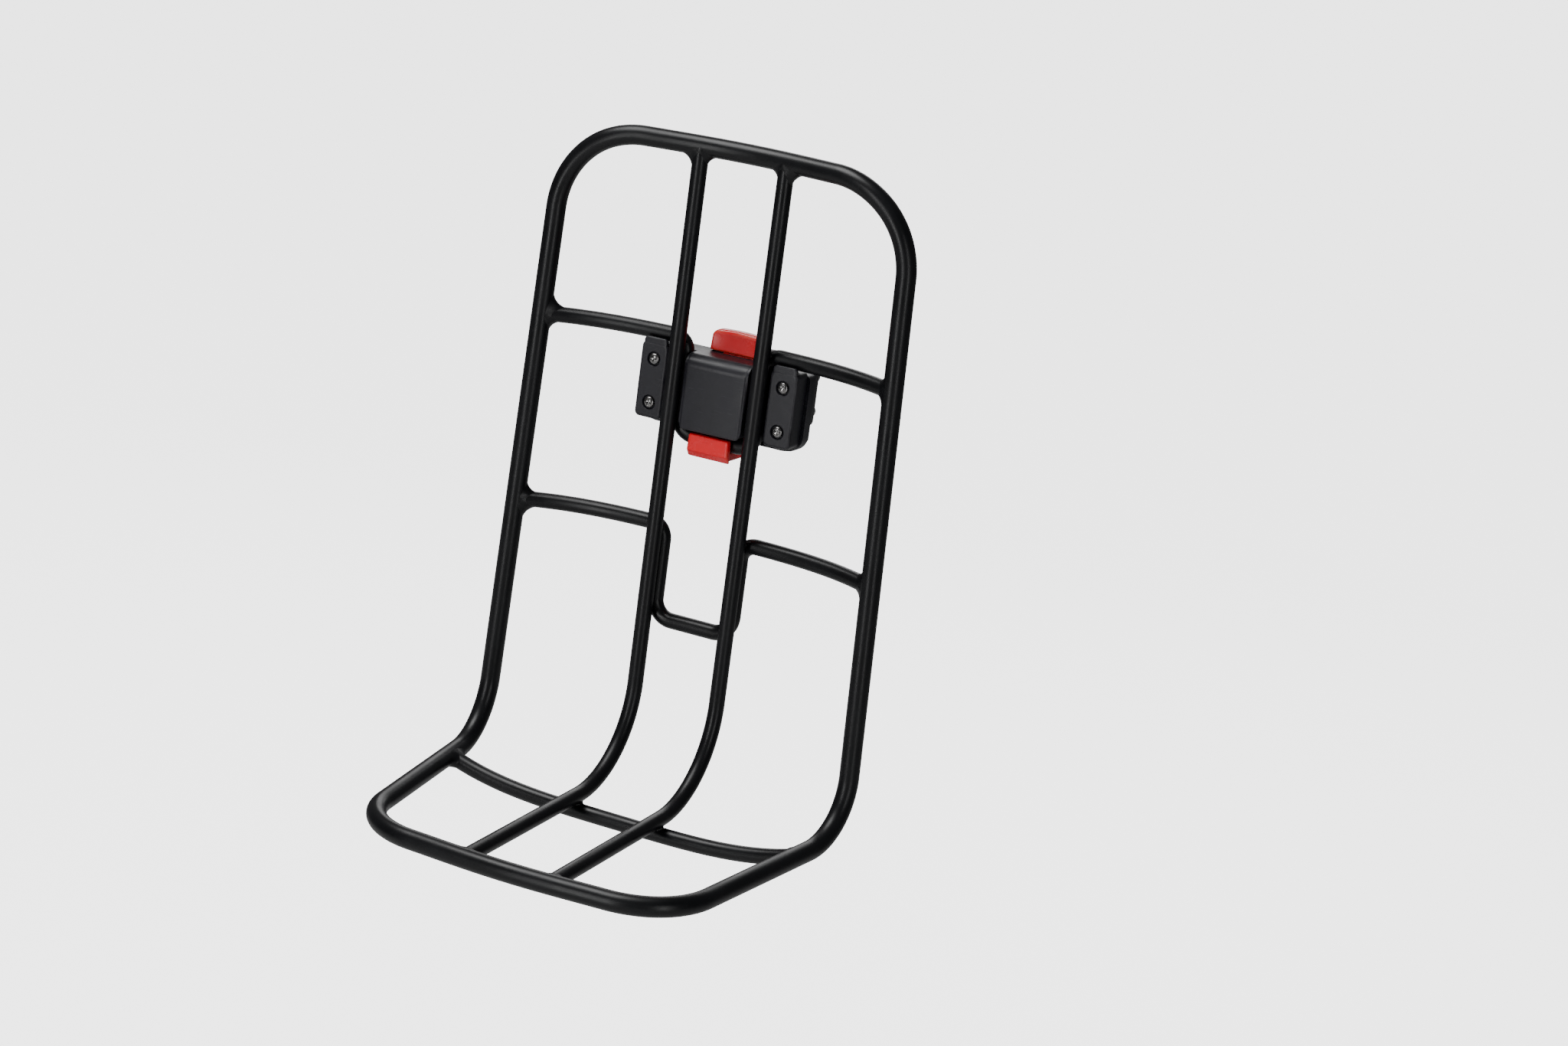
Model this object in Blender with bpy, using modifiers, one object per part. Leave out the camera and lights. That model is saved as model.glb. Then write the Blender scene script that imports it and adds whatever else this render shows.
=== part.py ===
"""Handlebar basket: an open tubular carrier on a quick-release bracket.

The carrier is an L-shaped hoop of round tube with two inner rods and three
cross rods. A plastic mount plate on the upper cross rod slides down over a
T-shaped tongue on an adapter, and the adapter is clamped round a handlepost.
A red latch inside the adapter has a push button on top and a hook below.

Frame: metres, +Z up along the handlepost, +X to the rider's left, -Y forward.
The origin is on the post's axis, halfway up the clamp. Left and right in names
are as seen from in front of the bicycle, so that right is +X.
"""
import math

import bmesh
import bpy
from mathutils import Matrix, Quaternion, Vector

MM = 0.001
GAP = 0.3 * MM                    # clearance between neighbouring pieces
OVERRUN = 1.0 * MM                # how far a cutter passes the face it opens

# Outer hoop
HOOP_RADIUS = 5.0 * MM
PANEL_Y = -59.0 * MM              # plane of the hoop's upright sides
TOP_Z = 122.0 * MM                # centre line of the top bar
HEEL_Z = -197.0 * MM              # where upright and shelf lines would meet
TOP_HALF = 95.0 * MM              # half width at the top bar
HEEL_HALF = 104.0 * MM            # half width at the heel
NOSE_HALF = 85.5 * MM             # half width at the front bar
SHELF_LENGTH = 145.0 * MM
SHELF_DROP = math.radians(3.3)    # the shelf slopes down towards the front
TOP_CORNER = 44.0 * MM
HEEL_BEND = 32.0 * MM
NOSE_CORNER = 36.0 * MM
TOP_BOW = 9.5 * MM                # the top bar curves back in the middle
NOSE_BOW = 3.5 * MM               # the front bar curves forward

# Inner rods and cross rods
ROD_RADIUS = 4.0 * MM
INNER_X = 23.4 * MM
INNER_BACK = 7.0 * MM             # inner rods lie this far behind the panel
INNER_SAG = 1.5 * MM              # and this far below the shelf
INNER_BEND = 49.5 * MM
CROSS_BOW = INNER_BACK + 2.0 * ROD_RADIUS + GAP
BOW_POWER = 3.5
UPPER_Z = 25.0 * MM
UPPER_RISE = 1.0 * MM
LOWER_Z = -71.5 * MM
LOWER_RISE = 1.5 * MM
LOOP_HALF = 22.0 * MM             # half width of the U in a cross rod
LOOP_DEPTH = 48.3 * MM
LOOP_TOP_BEND = 8.0 * MM
LOOP_FOOT_BEND = 10.0 * MM
SHELF_ROD_AT = 40.0 * MM          # distance from the heel along the shelf
SHELF_ROD_SAG = INNER_SAG + 2.0 * ROD_RADIUS + GAP
HOOP_SIDES = 4                    # bevel resolution: 12 sides
ROD_SIDES = 3                     # bevel resolution: 10 sides

# Mount plate on the carrier
ROD_BACK_Y = PANEL_Y + CROSS_BOW + ROD_RADIUS
BASE_Y = (ROD_BACK_Y + GAP, ROD_BACK_Y + GAP + 6.4 * MM)
BASE_HALF = 45.0 * MM
BASE_Z = (-20.0 * MM, 19.5 * MM)
BLOCK_FRONT = PANEL_Y + 6.2 * MM
BLOCK_HALF = 17.6 * MM
BLOCK_Z = (-17.8 * MM, 19.8 * MM)
BLOCK_WALL = 2.6 * MM
COVER_X = (28.6 * MM, 43.5 * MM)
COVER_Y = (PANEL_Y + 8.0 * MM, ROD_BACK_Y)
COVER_Z = (-17.0 * MM, 21.2 * MM)
LIP_BACK = PANEL_Y + 10.0 * MM
LIP_TOP = 23.8 * MM
SCREW_X = 36.0 * MM
SCREW_Z = (-9.0 * MM, 13.0 * MM)
SCREW_RADIUS = 2.0 * MM
HOLE_RADIUS = SCREW_RADIUS + GAP
NUT_FLATS = 7.0 * MM
NUT_HEIGHT = 2.5 * MM

# T-shaped tongue of the adapter and the slot it fills
TONGUE_HEAD_HALF = 12.0 * MM
TONGUE_NECK_HALF = 7.0 * MM
TONGUE_HEAD_Y = (BASE_Y[0] + 1.9 * MM, BASE_Y[0] + 4.2 * MM)
TONGUE_Z = (-13.0 * MM, 8.0 * MM)

# Adapter housing with the front half of the clamp
HOUSING_Y = (BASE_Y[1] + GAP, BASE_Y[1] + GAP + 9.7 * MM)
HOUSING_HALF = 41.0 * MM
HOUSING_Z = (-22.0 * MM, 19.0 * MM)
SHAFT_HALF = 9.3 * MM
SHAFT_Y = (HOUSING_Y[0] + 1.9 * MM, HOUSING_Y[0] + 6.7 * MM)
WELL_HALF = 15.8 * MM
WELL_Z = 10.0 * MM
WELL_BACK = HOUSING_Y[0] + 7.0 * MM
RIB_HALF = 4.0 * MM
RIB_Z = (-8.0 * MM, -5.0 * MM)
POST_RADIUS = 13.5 * MM
LINER_WALL = 1.5 * MM
BORE_RADIUS = POST_RADIUS + LINER_WALL + GAP
CLAMP_Z = (-16.0 * MM, 16.0 * MM)
NECK_HALF = 17.5 * MM
EAR_HALF = 28.0 * MM
EAR_FRONT_Y = -9.0 * MM
EAR_BACK_Y = 7.0 * MM
SPLIT = 0.3 * MM                  # half the gap between the clamp halves
STRAP_RADIUS = 19.6 * MM
BOLT_X = 23.4 * MM
BOLT_Z = 9.0 * MM

# Red latch: push button, slide and hook in one moving body
SLIDE_HALF = 8.9 * MM
SLIDE_Y = (SHAFT_Y[0] + 0.4 * MM, SHAFT_Y[1] - 0.4 * MM)
SLIDE_TOP = 19.7 * MM
WINDOW_HALF = 4.6 * MM
WINDOW_Z = (-8.4 * MM, 9.2 * MM)
HOOK_HALF = 11.0 * MM
HOOK_FRONT = PANEL_Y + 6.8 * MM
HOOK_LIP = 3.8 * MM
HOOK_Z = (-31.0 * MM, -26.8 * MM)
LIP_Z_TOP = -19.2 * MM
BUTTON_HALF = 15.4 * MM
BUTTON_Y = (HOUSING_Y[0] + 0.3 * MM, WELL_BACK - 0.4 * MM)
BUTTON_Z = (SLIDE_TOP + GAP, 31.4 * MM)
SPRING_COIL = 1.75 * MM
SPRING_WIRE = 0.35 * MM
SPRING_TURNS = 6

parts = None
cutters = None


def clear_scene():
    for item in list(bpy.data.objects):
        bpy.data.objects.remove(item, do_unlink=True)


def new_collection(name):
    group = bpy.data.collections.new(name)
    bpy.context.scene.collection.children.link(group)
    return group


def material(name, colour, metallic, roughness):
    made = bpy.data.materials.new(name)
    made.use_nodes = True
    shader = made.node_tree.nodes["Principled BSDF"]
    shader.inputs["Base Color"].default_value = (*colour, 1.0)
    shader.inputs["Metallic"].default_value = metallic
    shader.inputs["Roughness"].default_value = roughness
    made.diffuse_color = (*colour, 1.0)
    return made


def add(name, mesh, surface, smooth_angle=35.0):
    """Link a mesh as a sub-part, or as a hidden cutter when it has no surface."""
    item = bpy.data.objects.new(name, mesh)
    if surface is None:
        item.hide_render = True
        item.display_type = "WIRE"
        cutters.objects.link(item)
        return item
    mesh.materials.clear()
    mesh.materials.append(surface)
    mesh.shade_smooth()
    mesh.set_sharp_from_angle(angle=math.radians(smooth_angle))
    parts.objects.link(item)
    return item


def mesh_of(name, bm):
    mesh = bpy.data.meshes.new(name)
    bm.to_mesh(mesh)
    bm.free()
    return mesh


def box_mesh(name, x, y, z, rounds=()):
    """A box between limits; each round is (chooser of an edge, radius, segments)."""
    bm = bmesh.new()
    size = Vector((x[1] - x[0], y[1] - y[0], z[1] - z[0]))
    middle = Vector((x[0] + x[1], y[0] + y[1], z[0] + z[1])) / 2.0
    bmesh.ops.create_cube(bm, size=1.0)
    bmesh.ops.transform(bm, matrix=Matrix.Translation(middle) @ Matrix.Diagonal((*size, 1.0)), verts=bm.verts)
    for chosen, radius, segments in rounds:
        edges = [edge for edge in bm.edges if chosen(*edge_place(edge))]
        bmesh.ops.bevel(bm, geom=edges, offset=radius, segments=segments, profile=0.5, affect="EDGES")
    return mesh_of(name, bm)


def edge_place(edge):
    """The direction of an edge as a letter, with its middle point."""
    ends = edge.verts[1].co - edge.verts[0].co
    sizes = [abs(part) for part in ends]
    letter = "xyz"[sizes.index(max(sizes))]
    skew = sum(sizes) - max(sizes) > 0.02 * MM
    return ("skew" if skew else letter), (edge.verts[0].co + edge.verts[1].co) / 2.0


def box(name, x, y, z, surface=None, rounds=()):
    return add(name, box_mesh(name, x, y, z, rounds), surface)


def both(half):
    return (-half, half)


def rod_along(name, radius, start, end, sides, surface=None):
    """A straight cylinder or, with six sides, a hexagonal prism between two points."""
    bm = bmesh.new()
    run = Vector(end) - Vector(start)
    bmesh.ops.create_cone(bm, cap_ends=True, segments=sides, radius1=radius, radius2=radius, depth=run.length)
    turn = run.to_track_quat("Z", "Y").to_matrix().to_4x4()
    place = Matrix.Translation((Vector(start) + Vector(end)) / 2.0) @ turn
    bmesh.ops.transform(bm, matrix=place, verts=bm.verts)
    return add(name, mesh_of(name, bm), surface)


def boolean(target, other, operation):
    change = target.modifiers.new(operation.lower(), "BOOLEAN")
    change.operation = operation
    change.solver = "EXACT"
    change.object = other


def cut(target, other):
    boolean(target, other, "DIFFERENCE")


def join(target, other):
    boolean(target, other, "UNION")


def fillet(before, corner, after, radius, step=12.0):
    """Points of the arc that rounds one corner of a path."""
    to_before = (before - corner).normalized()
    to_after = (after - corner).normalized()
    opening = to_before.angle(to_after)
    centre = corner + (to_before + to_after).normalized() * radius / math.sin(opening / 2.0)
    start = corner + to_before * radius / math.tan(opening / 2.0)
    axis = to_after.cross(to_before).normalized()
    turn = math.pi - opening
    count = max(2, math.ceil(math.degrees(turn) / step))
    return [centre + Quaternion(axis, turn * i / count) @ (start - centre) for i in range(count + 1)]


def rounded_path(corners, radii, closed=False):
    """A path through corners, each rounded to its radius; ends have no radius."""
    points = []
    last = len(corners) - 1
    for index, corner in enumerate(corners):
        radius = radii[index]
        if radius is None:
            points.append(corner)
            continue
        before = corners[index - 1]
        after = corners[0] if index == last else corners[index + 1]
        points.extend(fillet(before, corner, after, radius))
    return points + points[:1] if closed else points


def densify(points, step, wanted):
    """Split the runs that a bow will bend, so that they take its curve."""
    dense = [points[0]]
    for start, end in zip(points, points[1:]):
        count = max(1, math.ceil((end - start).length / step)) if wanted(start, end) else 1
        dense.extend(start.lerp(end, i / count) for i in range(1, count + 1))
    return dense


def tube(name, points, radius, resolution, surface, cyclic=False):
    """A round tube along points, as a mesh with its caps welded."""
    data = bpy.data.curves.new(name, "CURVE")
    data.dimensions = "3D"
    data.bevel_depth = radius
    data.bevel_resolution = resolution
    data.use_fill_caps = True
    spline = data.splines.new("POLY")
    spline.points.add(len(points) - 1)
    for slot, point in zip(spline.points, points):
        slot.co = (*point, 1.0)
    spline.use_cyclic_u = cyclic
    wire = bpy.data.objects.new(name + "_line", data)
    parts.objects.link(wire)
    bpy.context.view_layer.update()
    seen = wire.evaluated_get(bpy.context.evaluated_depsgraph_get())
    mesh = bpy.data.meshes.new_from_object(seen)
    place = wire.matrix_world.copy()
    bpy.data.objects.remove(wire, do_unlink=True)
    bm = bmesh.new()
    bm.from_mesh(mesh)
    bmesh.ops.remove_doubles(bm, verts=bm.verts, dist=0.01 * MM)
    bmesh.ops.recalc_face_normals(bm, faces=bm.faces)
    bm.to_mesh(mesh)
    bm.free()
    mesh.name = name
    item = add(name, mesh, surface)
    item.matrix_world = place
    return item


def turned(name, profile, steps, surface):
    """A solid turned about its own Z from a profile that runs down its outer side."""
    mesh = bpy.data.meshes.new(name)
    edges = [(i, i + 1) for i in range(len(profile) - 1)]
    mesh.from_pydata([(r, 0.0, z) for r, z in profile], edges, [])
    item = add(name, mesh, surface)
    spin = item.modifiers.new("turn", "SCREW")
    spin.steps = steps
    spin.render_steps = steps
    spin.use_merge_vertices = True
    spin.merge_threshold = 0.00001
    return item


def shelf_point(x, along, below=0.0):
    """A point of the shelf: so far from the heel, so far under the tubes' plane."""
    y = PANEL_Y - along * math.cos(SHELF_DROP) + below * math.sin(SHELF_DROP)
    z = HEEL_Z - along * math.sin(SHELF_DROP) - below * math.cos(SHELF_DROP)
    return Vector((x, y, z))


def soft_bow(x, reach):
    """One in the middle, falling smoothly to nothing at the reach."""
    return max(0.0, 1.0 - (x / reach) ** 2) ** 2


def firm_bow(x, reach):
    """One over most of the width, falling quickly to nothing near the reach."""
    return 1.0 - min(1.0, abs(x / reach)) ** BOW_POWER


def hoop_points():
    heel = Vector((HEEL_HALF, PANEL_Y, HEEL_Z))
    right = [Vector((TOP_HALF, PANEL_Y, TOP_Z)), heel, shelf_point(NOSE_HALF, SHELF_LENGTH)]
    left = [Vector((-corner.x, corner.y, corner.z)) for corner in reversed(right)]
    radii = [TOP_CORNER, HEEL_BEND, NOSE_CORNER, NOSE_CORNER, HEEL_BEND, TOP_CORNER]
    path = rounded_path(right + left, radii, closed=True)
    crossing = densify(path, 14.0 * MM, lambda a, b: abs(a.x - b.x) > 60.0 * MM)
    forward = shelf_point(0.0, 1.0) - shelf_point(0.0, 0.0)
    for point in crossing:
        if point.z > TOP_Z - TOP_CORNER:
            point.y += TOP_BOW * soft_bow(point.x, TOP_HALF - 0.4 * TOP_CORNER)
        if point.y < PANEL_Y - SHELF_LENGTH + NOSE_CORNER:
            point += forward * NOSE_BOW * soft_bow(point.x, NOSE_HALF - 0.4 * NOSE_CORNER)
    return crossing[:-1]


def inner_points(x):
    plane = PANEL_Y + INNER_BACK
    along = (PANEL_Y + INNER_SAG * math.sin(SHELF_DROP) - plane) / math.cos(SHELF_DROP)
    heel = shelf_point(x, along, INNER_SAG)
    nose = shelf_point(x, SHELF_LENGTH + NOSE_BOW * soft_bow(x, NOSE_HALF), 0.5 * INNER_SAG)
    corners = [Vector((x, plane, TOP_Z)), heel, nose]
    return rounded_path(corners, [None, INNER_BEND, None])


def half_width(z):
    """Half width of the hoop's upright sides at a height."""
    share = (TOP_Z - z) / (TOP_Z - HEEL_Z)
    return TOP_HALF + (HEEL_HALF - TOP_HALF) * share


def looped_rod_points(z, rise):
    """A cross rod of the panel, bowed back, with a U hanging from its middle."""
    reach = half_width(z)
    foot = rise + z - LOOP_DEPTH
    right = [(reach, z), (LOOP_HALF, z), (LOOP_HALF, foot - rise)]
    flat = right + [(-x, height) for x, height in reversed(right)]
    corners = [Vector((x, PANEL_Y, height)) for x, height in flat]
    radii = [None, LOOP_TOP_BEND, LOOP_FOOT_BEND, LOOP_FOOT_BEND, LOOP_TOP_BEND, None]
    path = densify(rounded_path(corners, radii), 9.0 * MM, lambda a, b: abs(a.x - b.x) > 50.0 * MM)
    for point in path:
        share = firm_bow(point.x, reach)
        point.y += CROSS_BOW * share
        point.z += rise * share
    return path


def shelf_rod_points():
    reach = HEEL_HALF + (NOSE_HALF - HEEL_HALF) * SHELF_ROD_AT / SHELF_LENGTH
    count = 24
    places = [reach * (1.0 - 2.0 * i / count) for i in range(count + 1)]
    return [shelf_point(x, SHELF_ROD_AT, SHELF_ROD_SAG * firm_bow(x, reach)) for x in places]


def make_tubes(steel):
    hoop = tube("outer_hoop", hoop_points(), HOOP_RADIUS, HOOP_SIDES, steel, cyclic=True)
    cope = tube("hoop_cope", hoop_points(), HOOP_RADIUS + GAP, HOOP_SIDES, None, cyclic=True)
    rods = [
        tube("upper_cross_rod", looped_rod_points(UPPER_Z, UPPER_RISE), ROD_RADIUS, ROD_SIDES, steel),
        tube("lower_cross_rod", looped_rod_points(LOWER_Z, LOWER_RISE), ROD_RADIUS, ROD_SIDES, steel),
        tube("shelf_cross_rod", shelf_rod_points(), ROD_RADIUS, ROD_SIDES, steel),
        tube("inner_rod_right", inner_points(INNER_X), ROD_RADIUS, ROD_SIDES, steel),
        tube("inner_rod_left", inner_points(-INNER_X), ROD_RADIUS, ROD_SIDES, steel),
    ]
    for rod in rods:
        cut(rod, cope)
    return hoop


def make_mount_plate(plastic):
    """The base behind the rods, with a hollow block that comes forward between them."""
    corners = [
        (lambda way, at: way == "y" and at.z < 0.0, 8.0 * MM, 5),
        (lambda way, at: way == "y" and at.z > 0.0, 3.0 * MM, 3),
    ]
    plate = box("mount_plate", both(BASE_HALF), BASE_Y, BASE_Z, plastic, corners)
    crown = [
        (lambda way, at: way == "y" and at.z < 0.0, 5.5 * MM, 4),
        (lambda way, at: way == "x" and at.y < BLOCK_FRONT + MM and at.z > 0.0, 6.0 * MM, 5),
        (lambda way, at: way == "z" and at.y < BLOCK_FRONT + MM, 2.0 * MM, 3),
    ]
    block = box("block_shape", both(BLOCK_HALF), (BLOCK_FRONT, BASE_Y[0] + OVERRUN), BLOCK_Z, None, crown)
    join(plate, block)
    inside = both(BLOCK_HALF - BLOCK_WALL)
    depth = (BLOCK_FRONT + BLOCK_WALL, BASE_Y[0] - 1.0 * MM)
    cut(plate, box("block_hollow", inside, depth, (BLOCK_Z[0] - OVERRUN, BLOCK_Z[1] - BLOCK_WALL)))
    low = BASE_Z[0] - OVERRUN
    head_y = (TONGUE_HEAD_Y[0] - GAP, TONGUE_HEAD_Y[1] + GAP)
    cut(plate, box("slot_head", both(TONGUE_HEAD_HALF + GAP), head_y, (low, TONGUE_Z[1] + GAP)))
    neck_y = (TONGUE_HEAD_Y[1] - GAP, BASE_Y[1] + OVERRUN)
    cut(plate, box("slot_neck", both(TONGUE_NECK_HALF + GAP), neck_y, (low, TONGUE_Z[1] + GAP)))
    return plate


def make_cover(side, sign, plastic):
    """A wing that clamps the upper cross rod against the base with its top lip."""
    x = tuple(sorted((sign * COVER_X[0], sign * COVER_X[1])))
    rounds = [(lambda way, at: way == "y", 2.5 * MM, 3)]
    cover = box("clamp_cover_" + side, x, COVER_Y, COVER_Z, plastic, rounds)
    lip_x = (x[0] + 1.2 * MM, x[1] - 1.2 * MM)
    lip_rounds = [(lambda way, at: way == "y" and at.z > COVER_Z[1], 1.8 * MM, 3)]
    lip_z = (COVER_Z[1] - 3.0 * MM, LIP_TOP)
    join(cover, box("lip_" + side, lip_x, (COVER_Y[0], LIP_BACK), lip_z, None, lip_rounds))
    return cover


def nut(name, radius, near, far, metal):
    """A hexagon nut along Y with a plain hole."""
    body = rod_along(name, radius, near, far, 6, metal)
    past = Vector((0.0, OVERRUN, 0.0))
    cut(body, rod_along(name + "_hole", HOLE_RADIUS, near - past, far + past, 12))
    return body


def screw_profile(head_radius, head_height, length):
    """Half outline of a pan-head screw with its head's seat at height nought."""
    dome = [math.radians(90.0 - 15.0 * i) for i in range(6)]
    top = [(head_radius * math.cos(a), head_height * (0.35 + 0.65 * math.sin(a))) for a in dome]
    top[0] = (0.0, head_height)
    return top + [(head_radius, 0.0), (SCREW_RADIUS, 0.0), (SCREW_RADIUS, -length), (0.0, -length)]


def make_plate_screws(plate, covers, metal):
    """Four pan-head cross-recess screws through the covers and the base, with nuts."""
    nut_radius = NUT_FLATS / math.sqrt(3.0)
    seat = COVER_Y[0] - GAP
    nut_y = (BASE_Y[1] - GAP - NUT_HEIGHT, BASE_Y[1] - GAP)
    length = BASE_Y[1] - 1.0 * MM - seat
    for side, sign in (("right", 1.0), ("left", -1.0)):
        for level, z in zip(("lower", "upper"), SCREW_Z):
            tag = side + "_" + level
            x = sign * SCREW_X
            bore = rod_along(
                "bore_" + tag, HOLE_RADIUS, (x, COVER_Y[0] - OVERRUN, z), (x, BASE_Y[1] + OVERRUN, z), 16
            )
            cut(covers[side], bore)
            cut(plate, bore)
            pocket = rod_along(
                "pocket_" + tag, nut_radius + GAP, (x, nut_y[0] - GAP, z), (x, BASE_Y[1] + OVERRUN, z), 6
            )
            cut(plate, pocket)
            screw = turned("plate_screw_" + tag, screw_profile(3.4 * MM, 2.2 * MM, length), 20, metal)
            screw.location = (x, seat, z)
            screw.rotation_euler = (math.pi / 2.0, 0.0, 0.0)
            cut_cross(screw, tag, x, seat, z)
            nut("plate_nut_" + tag, nut_radius, Vector((x, nut_y[0], z)), Vector((x, nut_y[1], z)), metal)


def cut_cross(screw, tag, x, seat, z):
    """The crossed recess in a pan head that faces -Y."""
    arm = 1.9 * MM
    width = 0.45 * MM
    floor = seat - 1.0 * MM
    top = seat - 3.0 * MM
    level = box("cross_level_" + tag, (x - arm, x + arm), (top, floor), (z - width, z + width))
    upright = box("cross_upright_" + tag, (x - width, x + width), (top, floor), (z - arm, z + arm))
    cut(screw, level)
    cut(screw, upright)


def make_housing(plastic):
    """The adapter: a shell for the latch, the tongue and the front clamp half."""
    rounds = [
        (lambda way, at: way == "y" and at.z < 0.0, 9.0 * MM, 5),
        (lambda way, at: way == "y" and at.z > 0.0, 4.0 * MM, 3),
        (lambda way, at: way == "z" and at.y > HOUSING_Y[1] - MM, 4.0 * MM, 3),
    ]
    housing = box("adapter_housing", both(HOUSING_HALF), HOUSING_Y, HOUSING_Z, plastic, rounds)
    neck_y = (HOUSING_Y[1] - OVERRUN, EAR_FRONT_Y + OVERRUN)
    join(housing, box("neck_shape", both(NECK_HALF), neck_y, CLAMP_Z))
    ears = box("ear_shape", both(EAR_HALF), (EAR_FRONT_Y, -SPLIT), CLAMP_Z, None,
               [(lambda way, at: way == "y", 3.0 * MM, 3)])
    join(housing, ears)
    cut(housing, rod_along("post_bore", BORE_RADIUS, (0, 0, CLAMP_Z[0] - OVERRUN), (0, 0, CLAMP_Z[1] + OVERRUN), 40))
    through = (HOUSING_Z[0] - OVERRUN, HOUSING_Z[1] + OVERRUN)
    cut(housing, box("shaft", both(SHAFT_HALF), SHAFT_Y, through))
    well_y = (HOUSING_Y[0] - OVERRUN, WELL_BACK)
    cut(housing, box("well", both(WELL_HALF), well_y, (WELL_Z, through[1])))
    rib_y = (SHAFT_Y[0] - OVERRUN, SHAFT_Y[1] + OVERRUN)
    join(housing, box("spring_rib", both(RIB_HALF), rib_y, RIB_Z))
    join(housing, tongue_shape())
    return housing


def tongue_shape():
    """The T that the mount plate slides over."""
    neck_y = (TONGUE_HEAD_Y[1] - 0.5 * MM, HOUSING_Y[0] + OVERRUN)
    neck = box("tongue_neck", both(TONGUE_NECK_HALF), neck_y, TONGUE_Z)
    join(neck, box("tongue_head", both(TONGUE_HEAD_HALF), TONGUE_HEAD_Y, TONGUE_Z))
    return neck


def make_strap(plastic):
    """The rear half of the clamp."""
    strap = rod_along("clamp_strap", STRAP_RADIUS, (0, 0, CLAMP_Z[0]), (0, 0, CLAMP_Z[1]), 40, plastic)
    ears = box("strap_ears", both(EAR_HALF), (-EAR_BACK_Y, EAR_BACK_Y), CLAMP_Z, None,
               [(lambda way, at: way == "y", 3.0 * MM, 3)])
    join(strap, ears)
    reach = (CLAMP_Z[0] - OVERRUN, CLAMP_Z[1] + OVERRUN)
    cut(strap, rod_along("strap_bore", BORE_RADIUS, (0, 0, reach[0]), (0, 0, reach[1]), 40))
    cut(strap, box("strap_half", both(2.0 * EAR_HALF), (-2.0 * EAR_HALF, SPLIT), reach))
    return strap


def make_liners(rubber):
    """Two half sleeves of rubber between the clamp and the post."""
    low = CLAMP_Z[0] + 0.5 * MM
    high = CLAMP_Z[1] - 0.5 * MM
    far = 2.0 * POST_RADIUS
    for side, y in (("front", (-SPLIT, far)), ("rear", (-far, SPLIT))):
        sleeve = rod_along("clamp_liner_" + side, POST_RADIUS + LINER_WALL, (0, 0, low), (0, 0, high), 40, rubber)
        hole = rod_along("liner_hole_" + side, POST_RADIUS, (0, 0, low - OVERRUN), (0, 0, high + OVERRUN), 40)
        cut(sleeve, hole)
        cut(sleeve, box("liner_half_" + side, both(far), y, (low - OVERRUN, high + OVERRUN)))


def make_clamp_bolts(housing, strap, metal):
    """Four socket-head bolts from behind, each with a nut in front of the ears."""
    radius = 3.5 * MM
    height = 4.0 * MM
    seat = EAR_BACK_Y + GAP
    nut_radius = NUT_FLATS / math.sqrt(3.0)
    nut_y = (EAR_FRONT_Y - GAP - 3.0 * MM, EAR_FRONT_Y - GAP)
    length = seat - nut_y[0] + 1.0 * MM
    edge = 0.4 * MM
    profile = [(0.0, height), (radius - edge, height), (radius, height - edge), (radius, 0.0)]
    profile += [(SCREW_RADIUS, 0.0), (SCREW_RADIUS, -length), (0.0, -length)]
    for side, sign in (("right", 1.0), ("left", -1.0)):
        for level, rise in (("lower", -1.0), ("upper", 1.0)):
            tag = side + "_" + level
            x = sign * BOLT_X
            z = rise * BOLT_Z
            bore = rod_along("clamp_bore_" + tag, HOLE_RADIUS, (x, EAR_FRONT_Y - OVERRUN, z),
                             (x, EAR_BACK_Y + OVERRUN, z), 16)
            cut(housing, bore)
            cut(strap, bore)
            bolt = turned("clamp_bolt_" + tag, profile, 20, metal)
            bolt.location = (x, seat, z)
            bolt.rotation_euler = (-math.pi / 2.0, 0.0, 0.0)
            socket = rod_along("socket_" + tag, 1.7 * MM, (x, seat + 1.8 * MM, z), (x, seat + 5.0 * MM, z), 6)
            cut(bolt, socket)
            nut("clamp_nut_" + tag, nut_radius, Vector((x, nut_y[0], z)), Vector((x, nut_y[1], z)), metal)


def make_latch(red):
    """The slide with its hook, and the push button that sits on it."""
    slide = box("latch_hook", both(SLIDE_HALF), SLIDE_Y, (HOOK_Z[0], SLIDE_TOP), red)
    join(slide, box("hook_stem", both(SLIDE_HALF), (HOOK_FRONT + OVERRUN, SLIDE_Y[1] - 0.5 * MM), HOOK_Z))
    lip_rounds = [
        (lambda way, at: way == "x" and at.y < HOOK_FRONT + MM and at.z < HOOK_Z[1], 3.4 * MM, 1),
        (lambda way, at: way == "x" and at.y < HOOK_FRONT + MM and at.z > HOOK_Z[1], 0.8 * MM, 2),
    ]
    lip = box("hook_lip", both(HOOK_HALF), (HOOK_FRONT, HOOK_FRONT + HOOK_LIP),
              (HOOK_Z[0], LIP_Z_TOP), None, lip_rounds)
    join(slide, lip)
    window_y = (SLIDE_Y[0] - OVERRUN, SLIDE_Y[1] + OVERRUN)
    cut(slide, box("spring_window", both(WINDOW_HALF), window_y, WINDOW_Z))
    crown = [
        (lambda way, at: way == "y" and at.z > BUTTON_Z[1] - MM, 3.6 * MM, 5),
        (lambda way, at: way == "x" and at.y < BUTTON_Y[0] + MM and at.z > BUTTON_Z[1] - MM, 2.4 * MM, 3),
    ]
    button = box("release_button", both(BUTTON_HALF), BUTTON_Y, BUTTON_Z, red, crown)
    return slide, button


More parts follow.
